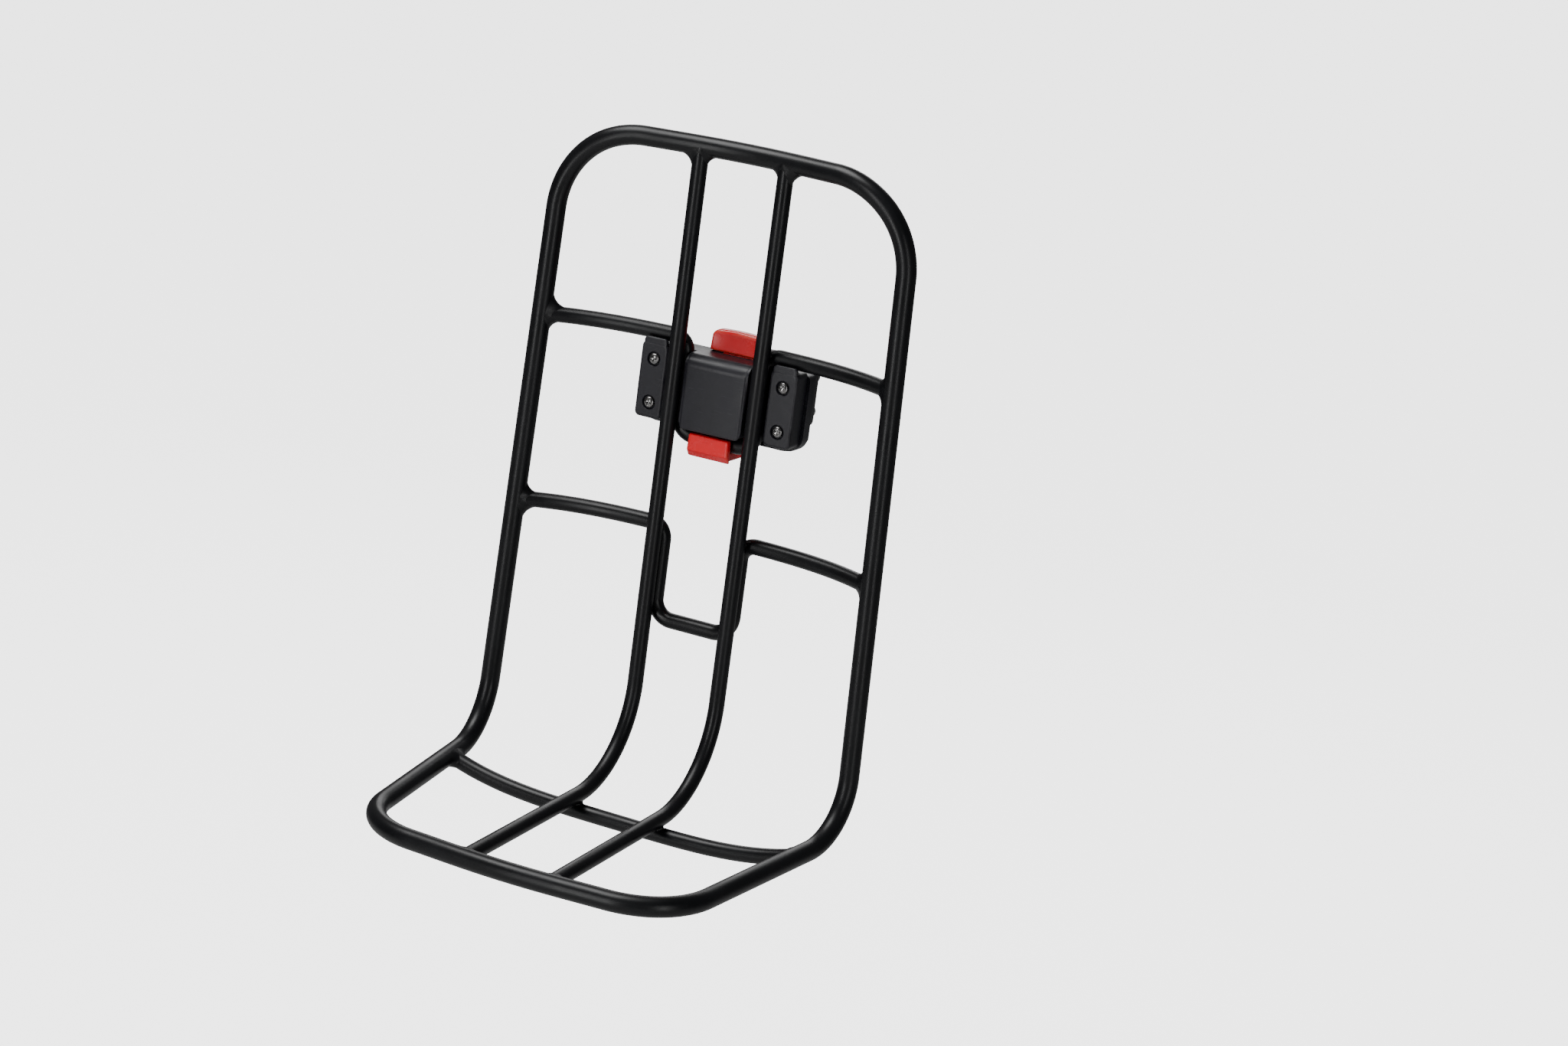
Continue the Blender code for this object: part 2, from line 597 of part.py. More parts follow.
def make_spring(metal):
    """The coil that pushes the latch up, between the housing's rib and the window's top."""
    low = RIB_Z[1] + GAP + SPRING_WIRE
    high = WINDOW_Z[1] - GAP - SPRING_WIRE
    middle = (SLIDE_Y[0] + SLIDE_Y[1]) / 2.0
    per_turn = 10
    count = SPRING_TURNS * per_turn
    coil = []
    for i in range(count + 1):
        angle = 2.0 * math.pi * i / per_turn
        height = low + (high - low) * i / count
        coil.append(Vector((SPRING_COIL * math.cos(angle), middle + SPRING_COIL * math.sin(angle), height)))
    return tube("return_spring", coil, SPRING_WIRE, 2, metal)


def main():
    global parts, cutters
    clear_scene()
    parts = new_collection("handlebar_basket")
    cutters = new_collection("cutters")
    powder = material("black_powder_coat", (0.018, 0.019, 0.021), 0.0, 0.32)
    plastic = material("black_plastic", (0.022, 0.022, 0.027), 0.0, 0.5)
    casing = material("adapter_plastic", (0.016, 0.016, 0.018), 0.0, 0.45)
    red = material("red_plastic", (0.80, 0.022, 0.008), 0.0, 0.25)
    dark_screw = material("black_screw", (0.03, 0.03, 0.032), 0.9, 0.3)
    zinc = material("zinc_steel", (0.55, 0.56, 0.57), 1.0, 0.3)
    rubber = material("black_rubber", (0.012, 0.012, 0.012), 0.0, 0.8)
    make_tubes(powder)
    plate = make_mount_plate(plastic)
    covers = {"right": make_cover("right", 1.0, plastic), "left": make_cover("left", -1.0, plastic)}
    make_plate_screws(plate, covers, dark_screw)
    housing = make_housing(casing)
    strap = make_strap(casing)
    make_liners(rubber)
    make_clamp_bolts(housing, strap, zinc)
    make_latch(red)
    make_spring(zinc)
    bpy.context.view_layer.update()


main()
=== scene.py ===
"""How the handlebar basket looks: fine tubes with weld fillets, moulded plastic, screws and light.

All sizes are in metres in the part's own frame: +Z up along the handlepost, -Y forward, +X to the
rider's left, with the origin on the post's axis halfway up the clamp. Left and right in names are
as seen from in front, so that right is +X.
"""

import math

import bmesh
import bpy
import numpy as np
from mathutils import Matrix, Vector


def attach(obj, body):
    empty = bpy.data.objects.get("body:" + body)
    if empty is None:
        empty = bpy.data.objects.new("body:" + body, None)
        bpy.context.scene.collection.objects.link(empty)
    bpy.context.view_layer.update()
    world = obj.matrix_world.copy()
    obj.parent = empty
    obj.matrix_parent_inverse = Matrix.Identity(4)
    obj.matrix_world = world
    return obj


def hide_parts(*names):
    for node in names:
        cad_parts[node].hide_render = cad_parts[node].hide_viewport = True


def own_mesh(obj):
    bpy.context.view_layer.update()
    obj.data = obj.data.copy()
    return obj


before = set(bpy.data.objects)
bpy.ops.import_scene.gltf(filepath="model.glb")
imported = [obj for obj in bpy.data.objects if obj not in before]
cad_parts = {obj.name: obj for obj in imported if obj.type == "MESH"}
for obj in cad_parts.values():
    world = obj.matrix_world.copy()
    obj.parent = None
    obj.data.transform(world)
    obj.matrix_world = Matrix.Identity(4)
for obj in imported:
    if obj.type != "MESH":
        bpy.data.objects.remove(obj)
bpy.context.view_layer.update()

MM = 0.001
MERGE = 0.002 * MM

# Tubes
HOOP_RADIUS = 5.0 * MM
ROD_RADIUS = 4.0 * MM
PANEL_Y = -59.0 * MM
TOP_Z = 122.0 * MM
HEEL_Z = -197.0 * MM
TOP_HALF = 95.0 * MM
HEEL_HALF = 104.0 * MM
NOSE_HALF = 85.5 * MM
SHELF_LENGTH = 145.0 * MM
SHELF_DROP = math.radians(3.3)
TOP_CORNER = 44.0 * MM
HEEL_BEND = 32.0 * MM
NOSE_CORNER = 36.0 * MM
TOP_BOW = 9.5 * MM
NOSE_BOW = 3.5 * MM
BOW_INSET = 0.4
INNER_X = 23.4 * MM
INNER_BACK = 7.0 * MM
INNER_SAG = 1.5 * MM
INNER_BEND = 49.5 * MM
CROSS_BOW = 15.3 * MM
BOW_POWER = 3.5
UPPER_Z, UPPER_RISE = 25.0 * MM, 1.0 * MM
LOWER_Z, LOWER_RISE = -71.5 * MM, 1.5 * MM
LOOP_HALF = 22.0 * MM
LOOP_DEPTH = 48.3 * MM
LOOP_TOP_BEND = 8.0 * MM
LOOP_FOOT_BEND = 10.0 * MM
SHELF_ROD_AT = 40.0 * MM
SHELF_ROD_SAG = 9.8 * MM

# How finely lines and rings are divided
PATH_STEP = 1.5 * MM
LOOP_STEP = 1.2 * MM
ARC_STEP = 0.5 * MM
OUTLINE_STEP = 0.2 * MM
SHELF_ROD_POINTS = 140
HOOP_SIDES = 48
ROD_SIDES = 40

# Welds
PANEL_LEG = 5.2 * MM
SHELF_LEG = 4.6 * MM
INNER_LEG = 4.8 * MM
LEG_AT_SIDES = 0.36
LEG_UP_ROD = 0.50
WELD_FILL = 0.33
WELD_SUNK = 0.12 * MM
WELD_SIDES = 96
WELD_ROWS = 15
FIRST_PHASE = 0.4
COLLAR_PHASE = 1.3
SADDLE_SIZE = 3.0 * MM
SADDLE_SINK = 0.35 * MM
SADDLE_WAIST = 0.20
SADDLE_SIDES = 64
SADDLE_PHASE = 0.9

# Mount plate
BLOCK_HALF = 17.75 * MM
BLOCK_Y = (-52.95 * MM, -38.9 * MM)
BLOCK_Z = (-17.9 * MM, 19.95 * MM)
BLOCK_WALL = 2.9 * MM
BLOCK_ROUND = 6.4 * MM
BLOCK_CROWN = 0.35 * MM
CROWN_REACH = 5.0 * MM
COVER_MID = 36.05 * MM
COVER_HALF = 7.45 * MM
COVER_Y = (-51.0 * MM, -39.7 * MM)
COVER_Z = (-17.0 * MM, 21.2 * MM)
LIP_TOP = 23.8 * MM
SCREW_X = 36.0 * MM
SCREW_Z = (-9.0 * MM, 13.0 * MM)
SCREW_HEAD = 2.8 * MM
SCREW_RISE = 1.9 * MM
SCREW_LENGTH = 15.5 * MM
SHANK_RADIUS = 2.0 * MM
RECESS_RADIUS = 3.45 * MM
RECESS_DEPTH = 1.3 * MM
SCREW_SEAT = COVER_Y[0] + 1.15 * MM
SCREW_TURNS = (0.5, 0.15)
CROSS_WIDTH = 0.52 * MM
CROSS_REACH = 1.75 * MM
CROSS_DEPTH = 1.15 * MM

# Latch
BUTTON_HALF = 15.4 * MM
BUTTON_Y = (-32.4 * MM, -26.1 * MM)
BUTTON_Z = (20.0 * MM, 31.4 * MM)
SLIDE_HALF = 8.9 * MM
SLIDE_Y = (-30.4 * MM, -26.4 * MM)
SLIDE_Z = (-31.0 * MM, 19.7 * MM)
WINDOW_HALF = 4.6 * MM
WINDOW_Z = (-8.4 * MM, 9.2 * MM)
TAB_HALF = 11.0 * MM
TAB_Y = (-52.2 * MM, -48.4 * MM)
TAB_Z = (-31.0 * MM, -19.2 * MM)
TAB_BEVEL = 3.4 * MM
STEM_TOP = -26.8 * MM
SPRING_Z = (-4.35 * MM, 8.55 * MM)
SPRING_RADIUS = 1.75 * MM
WIRE_RADIUS = 0.35 * MM
SPRING_TURNS = 7.0
SPRING_SETTLE = 0.16
SPRING_CLOSED = 0.22

# Clamp fasteners
BOLT_X = 23.4 * MM
BOLT_Z = 9.0 * MM
BOLT_SEAT = 7.3 * MM
BOLT_HEAD = 3.5 * MM
BOLT_TALL = 4.0 * MM
BOLT_KEY = 1.5 * MM
BOLT_LENGTH = 20.6 * MM
KNURL_DEPTH = 0.08 * MM
KNURL_COUNT = 36.0
CLAMP_NUT_Y = (-12.3 * MM, -9.3 * MM)
PLATE_NUT_Y = (-35.8 * MM, -33.3 * MM)
NUT_FLATS = 7.0 * MM
NUT_BORE = 2.05 * MM

# Right is +X, as seen from in front
SIDES = (("right", 1.0), ("left", -1.0))

# Studio
BACKDROP = 3.2
AMBIENT = 0.10
FLOOR_HALF = 20.0
FLOOR_LEVEL = -0.60
LIGHT_AIM = (0.0, -0.06, -0.03)
LENS = 77.34
SENSOR = 36.0
EYE = (0.72131, -1.50346, 0.34250)
AHEAD = (-0.409137, 0.880487, -0.239477)
RIGHTWARD = (0.885448, 0.446503, 0.128907)
SOFT_BOXES = (
    ("overhead", (-0.55, -0.35, 1.30), (0.9, 0.7), 19.0),
    ("front strip", (-0.45, -2.00, -0.05), (0.25, 1.8), 15.0),
    ("right strip", (1.55, -1.25, -0.05), (0.20, 1.6), 7.0),
    ("rear fill", (-0.6, 1.6, 0.7), (1.2, 0.8), 8.0),
)

# Finishes: the spans of noise that are read as a drift, a swing and a scuff
DRIFT_SPAN = (0.35, 0.65)
SWING_SPAN = (0.3, 0.7)
SCUFF_SPAN = (0.62, 0.78)
SCUFF_SCALE = 420.0
COAT_ROUGHNESS = 0.12

# Sockets of the mix node when it mixes colours
MIX_FACTOR, MIX_FIRST, MIX_SECOND, MIX_RESULT = 0, 6, 7, 2


# ---------- numpy helpers

def unit(v):
    """Vectors divided by their own lengths."""
    return v / np.linalg.norm(v, axis=-1, keepdims=True)


def dot(a, b):
    """The dot product of rows of vectors, kept as a column."""
    return np.sum(a * b, axis=-1, keepdims=True)


def smooth(t):
    """Rises from 0 to 1 as t does, level at both ends: t*t*(3 - 2t)."""
    t = np.clip(t, 0.0, 1.0)
    return t * t * (3.0 - 2.0 * t)


def grid_faces(rows, cols, wrap_rows, wrap_cols):
    """Quads between neighbouring rows and columns of a grid; either way may close on itself."""
    i = np.arange(rows if wrap_rows else rows - 1)[:, None]
    j = np.arange(cols if wrap_cols else cols - 1)[None, :]
    below = (i + 1) % rows * cols
    beside = (j + 1) % cols
    quads = [i * cols + j, i * cols + beside, below + beside, below + j]
    return np.stack(quads, axis=-1).reshape(-1, 4)


def piece(name, grids, surface, body, sharp=40.0, wear=None):
    """One object from closed grids of points.

    Each grid is (points, wrap_rows), and its columns always close.
    """
    points = []
    faces = []
    count = 0
    for grid, wrap_rows in grids:
        rows, cols = grid.shape[:2]
        faces.append(grid_faces(rows, cols, wrap_rows, True) + count)
        points.append(grid.reshape(-1, 3))
        count += rows * cols
    mesh = bpy.data.meshes.new(name)
    mesh.from_pydata(np.concatenate(points), [], np.concatenate(faces))
    if wear is not None:
        layer = mesh.attributes.new("wear", "FLOAT", "POINT")
        values = np.concatenate([part.reshape(-1) for part in wear])
        layer.data.foreach_set("value", values.astype(np.float32))
    return close(name, mesh, surface, body, sharp)


def close(name, mesh, surface, body, sharp):
    """Welds poles and seams, turns the faces outward, and gives the object a finish and a body."""
    bm = bmesh.new()
    bm.from_mesh(mesh)
    bmesh.ops.remove_doubles(bm, verts=bm.verts, dist=MERGE)
    bmesh.ops.dissolve_degenerate(bm, edges=bm.edges, dist=MERGE)
    bmesh.ops.recalc_face_normals(bm, faces=bm.faces)
    bm.to_mesh(mesh)
    bm.free()
    mesh.materials.clear()
    mesh.materials.append(surface)
    mesh.shade_smooth()
    mesh.set_sharp_from_angle(angle=math.radians(sharp))
    item = bpy.data.objects.new(name, mesh)
    bpy.context.scene.collection.objects.link(item)
    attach(item, body)
    return item


# ---------- lines of the tubes

def corner_arc(before, corner, after, radius):
    """Arc that rounds a corner: the spoke at its start turned evenly to the spoke at its end."""
    back = unit(before - corner)
    on = unit(after - corner)
    opening = math.acos(float(np.dot(back, on)))
    centre = corner + unit(back + on) * radius / math.sin(opening / 2.0)
    first = corner + back * radius / math.tan(opening / 2.0) - centre
    last = corner + on * radius / math.tan(opening / 2.0) - centre
    turn = math.pi - opening
    share = np.linspace(0.0, 1.0, max(4, math.ceil(turn * radius / ARC_STEP)))[:, None]
    spokes = np.sin((1.0 - share) * turn) * first + np.sin(share * turn) * last
    return centre + spokes / math.sin(turn)


def rounded_line(corners, radii, closed=False, step=PATH_STEP):
    """A line through corners, each rounded to its radius, with points evenly spaced along it."""
    corners = [np.array(corner, dtype=float) for corner in corners]
    runs = []
    for index, radius in enumerate(radii):
        if radius is None:
            runs.append(corners[index][None, :])
        else:
            following = corners[(index + 1) % len(corners)]
            runs.append(corner_arc(corners[index - 1], corners[index], following, radius))
    points = np.concatenate(runs)
    if closed:
        points = np.concatenate([points, points[:1]])
    return evenly(points, step, closed)


def evenly(points, step, closed=False):
    """Points at equal distances along a line of straight runs."""
    lengths = np.linalg.norm(np.diff(points, axis=0), axis=1)
    keep = np.concatenate([[True], lengths > 1e-9])
    points = points[keep]
    travelled = np.concatenate([[0.0], np.cumsum(lengths[lengths > 1e-9])])
    count = max(2, math.ceil(travelled[-1] / step))
    places = np.linspace(0.0, travelled[-1], count + 1)
    places = places[:-1] if closed else places
    return np.stack([np.interp(places, travelled, points[:, k]) for k in range(3)], axis=1)


def shelf_point(x, along, below=0.0):
    """A point of the shelf: so far from the heel, so far under the tubes' plane."""
    y = PANEL_Y - along * math.cos(SHELF_DROP) + below * math.sin(SHELF_DROP)
    z = HEEL_Z - along * math.sin(SHELF_DROP) - below * math.cos(SHELF_DROP)
    return np.stack(np.broadcast_arrays(x, y, z), axis=-1)


def soft_bow(x, reach):
    """One in the middle, falling smoothly to nothing at the reach: (1 - (x / reach)^2)^2."""
    return np.maximum(0.0, 1.0 - (x / reach) ** 2) ** 2


def firm_bow(x, reach):
    """One over most of the width, falling quickly near the reach: 1 - |x / reach|^power."""
    return 1.0 - np.minimum(1.0, np.abs(x / reach)) ** BOW_POWER


def hoop_line():
    """The closed line of the hoop: panel, heel bends and shelf, bowed at the top and the nose."""
    right = [(TOP_HALF, PANEL_Y, TOP_Z), (HEEL_HALF, PANEL_Y, HEEL_Z),
             tuple(shelf_point(NOSE_HALF, SHELF_LENGTH))]
    left = [(-x, y, z) for x, y, z in reversed(right)]
    radii = [TOP_CORNER, HEEL_BEND, NOSE_CORNER, NOSE_CORNER, HEEL_BEND, TOP_CORNER]
    line = rounded_line(right + left, radii, closed=True)
    forward = shelf_point(0.0, 1.0) - shelf_point(0.0, 0.0)
    high = line[:, 2] > TOP_Z - TOP_CORNER
    front = line[:, 1] < PANEL_Y - SHELF_LENGTH + NOSE_CORNER
    top_bow = TOP_BOW * soft_bow(line[:, 0], TOP_HALF - BOW_INSET * TOP_CORNER)
    nose_bow = NOSE_BOW * soft_bow(line[:, 0], NOSE_HALF - BOW_INSET * NOSE_CORNER)
    line[:, 1] += np.where(high, top_bow, 0.0)
    push = np.where(front, nose_bow, 0.0)
    return line + push[:, None] * forward


def inner_line(x):
    """An inner rod: down the panel behind the hoop's plane, round the heel and along the shelf."""
    plane = PANEL_Y + INNER_BACK
    along = (PANEL_Y + INNER_SAG * math.sin(SHELF_DROP) - plane) / math.cos(SHELF_DROP)
    length = SHELF_LENGTH + NOSE_BOW * float(soft_bow(x, NOSE_HALF))
    nose = shelf_point(x, length, 0.5 * INNER_SAG)
    heel = shelf_point(x, along, INNER_SAG)
    return rounded_line([(x, plane, TOP_Z), heel, nose], [None, INNER_BEND, None])


def half_width(z):
    """Half width of the hoop's upright sides at a height."""
    return TOP_HALF + (HEEL_HALF - TOP_HALF) * (TOP_Z - z) / (TOP_Z - HEEL_Z)


def looped_line(z, rise):
    """A cross rod of the panel, bowed back, with a U hanging from its middle."""
    reach = half_width(z)
    right = [(reach, z), (LOOP_HALF, z), (LOOP_HALF, z - LOOP_DEPTH)]
    left = [(-x, height) for x, height in reversed(right)]
    corners = [(x, PANEL_Y, height) for x, height in right + left]
    radii = [None, LOOP_TOP_BEND, LOOP_FOOT_BEND, LOOP_FOOT_BEND, LOOP_TOP_BEND, None]
    line = rounded_line(corners, radii, step=LOOP_STEP)
    share = firm_bow(line[:, 0], reach)
    line[:, 1] += CROSS_BOW * share
    line[:, 2] += rise * share
    return line


def shelf_rod_line():
    """The shelf's cross rod, which sags under the inner rods and rises to the hoop at its ends."""
    reach = HEEL_HALF + (NOSE_HALF - HEEL_HALF) * SHELF_ROD_AT / SHELF_LENGTH
    x = np.linspace(reach, -reach, SHELF_ROD_POINTS)
    return shelf_point(x, SHELF_ROD_AT, SHELF_ROD_SAG * firm_bow(x, reach))


# ---------- surfaces

def carried_ring(line, radius, reference, sides, closed=False):
    """A ring carried along a line: line(s) + radius * (cos u * N + sin u * B).

    N is the reference direction made square to the line, and B is square to both. An open line
    gets a flat cap at each end, as a row of points that all lie on the line's end.
    """
    if closed:
        tangent = unit(np.roll(line, -1, axis=0) - np.roll(line, 1, axis=0))
    else:
        tangent = unit(np.gradient(line, axis=0))
    reference = np.broadcast_to(np.asarray(reference, dtype=float), line.shape)
    across = unit(reference - dot(reference, tangent) * tangent)
    other = np.cross(tangent, across)
    turn = np.linspace(0.0, 2.0 * math.pi, sides, endpoint=False)[None, :, None]
    spokes = np.cos(turn) * across[:, None, :] + np.sin(turn) * other[:, None, :]
    ring = line[:, None, :] + radius * spokes
    if closed:
        return ring
    start = np.repeat(line[None, :1], sides, axis=1)
    end = np.repeat(line[None, -1:], sides, axis=1)
    return np.concatenate([start, ring, end])


def weld_collar(hoop, end, away, rod_radius, leg, phase):
    """The fillet where a rod runs into the hoop, as a ring closed both ways.

    Round the rod by the angle u, the corner C(u) is where the rod's surface meets the hoop's. A(u)
    lies a leg out along the rod, and B(u) a leg out over the hoop. The fillet is the curve
    (1 - v)^2 A + 2v(1 - v) C + v^2 B, with C drawn a third of the way out and a low ripple of sines
    on it, and its back closes inside the tubes.

    h runs along the hoop and r along the rod; n and s are square to h, and a and b square to r.
    """
    nearest = int(np.argmin(np.linalg.norm(hoop - end, axis=1)))
    foot = hoop[nearest]
    h = unit(hoop[(nearest + 1) % len(hoop)] - hoop[nearest - 1])
    r = unit(away)
    n = unit(r - np.dot(r, h) * h)
    s = np.cross(h, n)
    a = unit(h - np.dot(h, r) * r)
    b = np.cross(r, a)
    offset = (end - foot) - np.dot(end - foot, r) * r
    u = np.linspace(0.0, 2.0 * math.pi, WELD_SIDES, endpoint=False)[:, None]
    spoke = np.cos(u) * a + np.sin(u) * b
    skin = offset + rod_radius * spoke
    level = skin - dot(skin, h) * h
    climb = r - np.dot(r, h) * h
    lead = dot(level, climb)
    size = np.dot(climb, climb)
    under_root = np.maximum(0.0, lead ** 2 - size * (dot(level, level) - HOOP_RADIUS ** 2))
    depth = (-lead + np.sqrt(under_root)) / size
    corner = skin + depth * r
    middle = np.dot(offset, h) + HOOP_RADIUS * np.dot(r, h) / np.dot(r, n)
    lengthwise = dot(corner, h) - middle
    angle = np.arctan2(dot(corner, s), dot(corner, n))
    span = np.hypot(lengthwise, HOOP_RADIUS * angle)
    facing = np.cos(u) ** 2
    uneven = 1.0 + 0.20 * np.sin(u + phase) + 0.10 * np.sin(3.0 * u + 2.0 * phase)
    out = leg * uneven * (LEG_AT_SIDES + (1.0 - LEG_AT_SIDES) * facing)
    reach = dot(corner, h) + out * lengthwise / span
    around = angle + out * angle / span
    on_hoop = h * reach + (HOOP_RADIUS - WELD_SUNK) * (np.cos(around) * n + np.sin(around) * s)
    up_rod = leg * uneven[::-1] * (LEG_UP_ROD + (1.0 - LEG_UP_ROD) * facing)
    on_rod = skin - 0.1 * MM * spoke + (depth + up_rod) * r
    drawn = corner + WELD_FILL * ((on_rod + on_hoop) / 2.0 - corner)
    v = np.linspace(0.0, 1.0, WELD_ROWS)[:, None, None]
    curve = (1.0 - v) ** 2 * on_rod + 2.0 * v * (1.0 - v) * drawn + v ** 2 * on_hoop
    ripple = 0.04 * np.sin(9.0 * u + 3.0 * phase) + 0.12 * np.sin(3.0 * u + 5.0 * phase) + 0.20
    curve = curve + ripple * MM * np.sin(math.pi * v) * unit(spoke + n)
    inside = (offset + 0.5 * rod_radius * spoke + (depth - 1.5 * MM) * r)[None]
    return np.concatenate([curve, inside]) + foot


def weld_saddle(contact, first, second, radius, size, phase):
    """The weld between two rods that cross and touch, as a closed drum between their skins.

    At a distance d and angle u from the contact, one skin lies R - sqrt(R^2 - (d sin u)^2) away
    and the other R - sqrt(R^2 - (d cos u)^2) away on the other side. The drum runs between both
    and is waisted.
    """
    p = unit(np.array(first, dtype=float))
    q = unit(np.array(second, dtype=float) - np.dot(second, p) * p)
    m = np.cross(p, q)
    u = np.linspace(0.0, 2.0 * math.pi, SADDLE_SIDES, endpoint=False)
    edge = size * (1.0 + 0.10 * np.sin(2.0 * u + phase) + 0.07 * np.sin(5.0 * u + phase))

    def away(swung):
        return radius - np.sqrt(radius ** 2 - swung ** 2) + SADDLE_SINK

    rows = []
    for share in np.linspace(0.0, 1.0, 5):
        rows.append((edge * share, away(edge * share * np.cos(u))))
    top = rows[-1][1]
    low = -away(edge * np.sin(u))
    for share in np.linspace(0.1, 0.9, 9):
        waist = 1.0 - SADDLE_WAIST * math.sin(math.pi * share)
        rows.append((edge * waist, top + (low - top) * share))
    for share in np.linspace(1.0, 0.0, 5):
        rows.append((edge * share, -away(edge * share * np.sin(u))))
    reach = np.stack([row[0] for row in rows])[..., None]
    height = np.stack([row[1] for row in rows])[..., None]
    turn = np.cos(u)[None, :, None] * p + np.sin(u)[None, :, None] * q
    return np.array(contact, dtype=float) + reach * turn + height * m


def outline(corners, radii, count=160):
    """A closed flat outline through rounded corners, evenly spaced: its columns are p and q."""
    flat = [(p, q, 0.0) for p, q in corners]
    line = rounded_line(flat, radii, closed=True, step=OUTLINE_STEP)[:, :2]
    line = np.concatenate([line, line[:1]])
    steps = np.linalg.norm(np.diff(line, axis=0), axis=1)
    travelled = np.concatenate([[0.0], np.cumsum(steps)])
    places = np.linspace(0.0, travelled[-1], count, endpoint=False)
    return np.stack([np.interp(places, travelled, line[:, k]) for k in range(2)], axis=1)


def rectangle(p, q, radii):
    """Corners of a flat rectangle between limits, from low p and low q round by high p."""
    return [(p[0], q[0]), (p[1], q[0]), (p[1], q[1]), (p[0], q[1])], list(radii)


def outward(line):
    """The direction in which each point of an outline faces, from its middle outwards."""
    ahead = np.roll(line, -1, axis=0) - np.roll(line, 1, axis=0)
    normal = unit(np.stack([ahead[:, 1], -ahead[:, 0]], axis=1))
    middle = (line.max(axis=0) + line.min(axis=0)) / 2.0
    sign = np.sign(np.sum((line - middle) * normal))
    return normal * sign


def rim(edge, count):
    """The inward step in p and q and the depth of a rim, from one radius or from all three."""
    if isinstance(edge, tuple):
        spread_out = [np.broadcast_to(np.asarray(part, dtype=float), (count,)) for part in edge]
        in_p, in_q, deep = spread_out
        return np.stack([in_p, in_q], axis=1), deep
    radius = np.broadcast_to(np.asarray(edge, dtype=float), (count,))
    return np.stack([radius, radius], axis=1), radius


def prism(line, low, high, low_edge, high_edge, rounds=7, face_rows=4, wall_rows=2, hollow=None,
          spread=1.0):
    """A moulded solid: an outline carried from one depth to another, with both rims rounded.

    Along a rim of radius e, by the angle t, the outline shrinks towards its middle by e(1 - cos t)
    while the depth comes in by e(1 - sin t); e may vary round the outline. Flat faces close each
    end on the middle, in rings at 1 - share^spread, and a hollow (wall, floor) opens the low end
    instead. Returns the points as p, q, depth and the wear of rims.
    """
    count = line.shape[0]
    middle = (line.max(axis=0) + line.min(axis=0)) / 2.0
    half = (line.max(axis=0) - line.min(axis=0)) / 2.0
    low_in, low_deep = rim(low_edge, count)
    high_in, high_deep = rim(high_edge, count)
    rows = []
    wear = []

    def row(shrink, scale, depth, worn):
        shape = middle + (line - middle) * (1.0 - shrink / half) * scale
        rows.append(np.concatenate([shape, np.broadcast_to(depth, (count,))[:, None]], axis=1))
        wear.append(np.full(count, worn))

    if hollow is None:
        for share in np.linspace(1.0, 0.0, face_rows, endpoint=False):
            row(low_in, 1.0 - share ** spread, low, 0.0)
    else:
        wall, floor = hollow
        row(wall, 0.0, floor, 0.0)
        row(wall + 0.4 * MM, 1.0, floor, 0.0)
        row(wall, 1.0, floor - 0.4 * MM, 0.0)
        row(wall, 1.0, low + 5.0 * MM, 0.0)
        row(np.maximum(wall, low_in + 0.8 * MM), 1.0, low + 0.3 * MM, 0.3)
        row(np.maximum(wall - 0.3 * MM, low_in + 0.5 * MM), 1.0, low, 0.6)
    for t in np.linspace(90.0, 0.0, rounds):
        a = math.radians(t)
        depth = low + low_deep * (1.0 - math.sin(a))
        row(low_in * (1.0 - math.cos(a)), 1.0, depth, math.sin(2.0 * a))
    for share in np.linspace(0.0, 1.0, wall_rows + 2)[1:-1]:
        depth = (low + low_deep) * (1.0 - share) + (high - high_deep) * share
        row(np.zeros((count, 2)), 1.0, depth, 0.0)
    for t in np.linspace(0.0, 90.0, rounds):
        a = math.radians(t)
        depth = high - high_deep * (1.0 - math.sin(a))
        row(high_in * (1.0 - math.cos(a)), 1.0, depth, math.sin(2.0 * a))
    for share in np.linspace(0.0, 1.0, face_rows + 1)[1:]:
        row(high_in, 1.0 - share ** spread, high, 0.0)
    return np.stack(rows), np.stack(wear)


def place(grid, order):
    """Puts a prism's p, q and depth on the axes named in order, such as "xzy"."""
    return np.stack([grid[..., order.index(axis)] for axis in "xyz"], axis=-1)


def turned(profile, steps=64, shape=None):
    """A solid of revolution: radius and height rows turned about the height's axis.

    Where a row's third number is a flats radius f, the ring is a hexagon instead, at
    f / cos(angle from the middle of a flat), and the row's first number isn't used.
    """
    u = np.linspace(0.0, 2.0 * math.pi, steps, endpoint=False)
    part = np.mod(u + math.pi / 6.0, math.pi / 3.0) - math.pi / 6.0
    rows = []
    for radius, height, flats in profile:
        ring = np.full(steps, radius) if flats is None else flats / np.cos(part)
        rows.append(np.stack([ring * np.cos(u), ring * np.sin(u), np.full(steps, height)], axis=1))
    grid = np.stack(rows)
    return grid if shape is None else shape(grid)


def stand(grid, middle, facing):
    """Turns a solid of revolution so that its height runs along +Y or -Y, and puts it in place."""
    x, y, height = grid[..., 0], grid[..., 1], grid[..., 2]
    moved = np.stack([x * facing, height * facing, y], axis=-1)
    return moved + np.array(middle, dtype=float)


# ---------- finishes

def node(tree, kind, **values):
    """A new node, with each value set as its property or, failing that, on its input."""
    made = tree.nodes.new(kind)
    for key, value in values.items():
        if hasattr(made, key):
            setattr(made, key, value)
        else:
            made.inputs[key.replace("_", " ").title()].default_value = value
    return made


def spanned(tree, source, span, to=(0.0, 1.0)):
    """A map range node that reads a span of the source as another span; returns its result."""
    made = node(tree, "ShaderNodeMapRange")
    made.inputs["From Min"].default_value, made.inputs["From Max"].default_value = span
    made.inputs["To Min"].default_value, made.inputs["To Max"].default_value = to
    tree.links.new(source, made.inputs["Value"])
    return made.outputs["Result"]


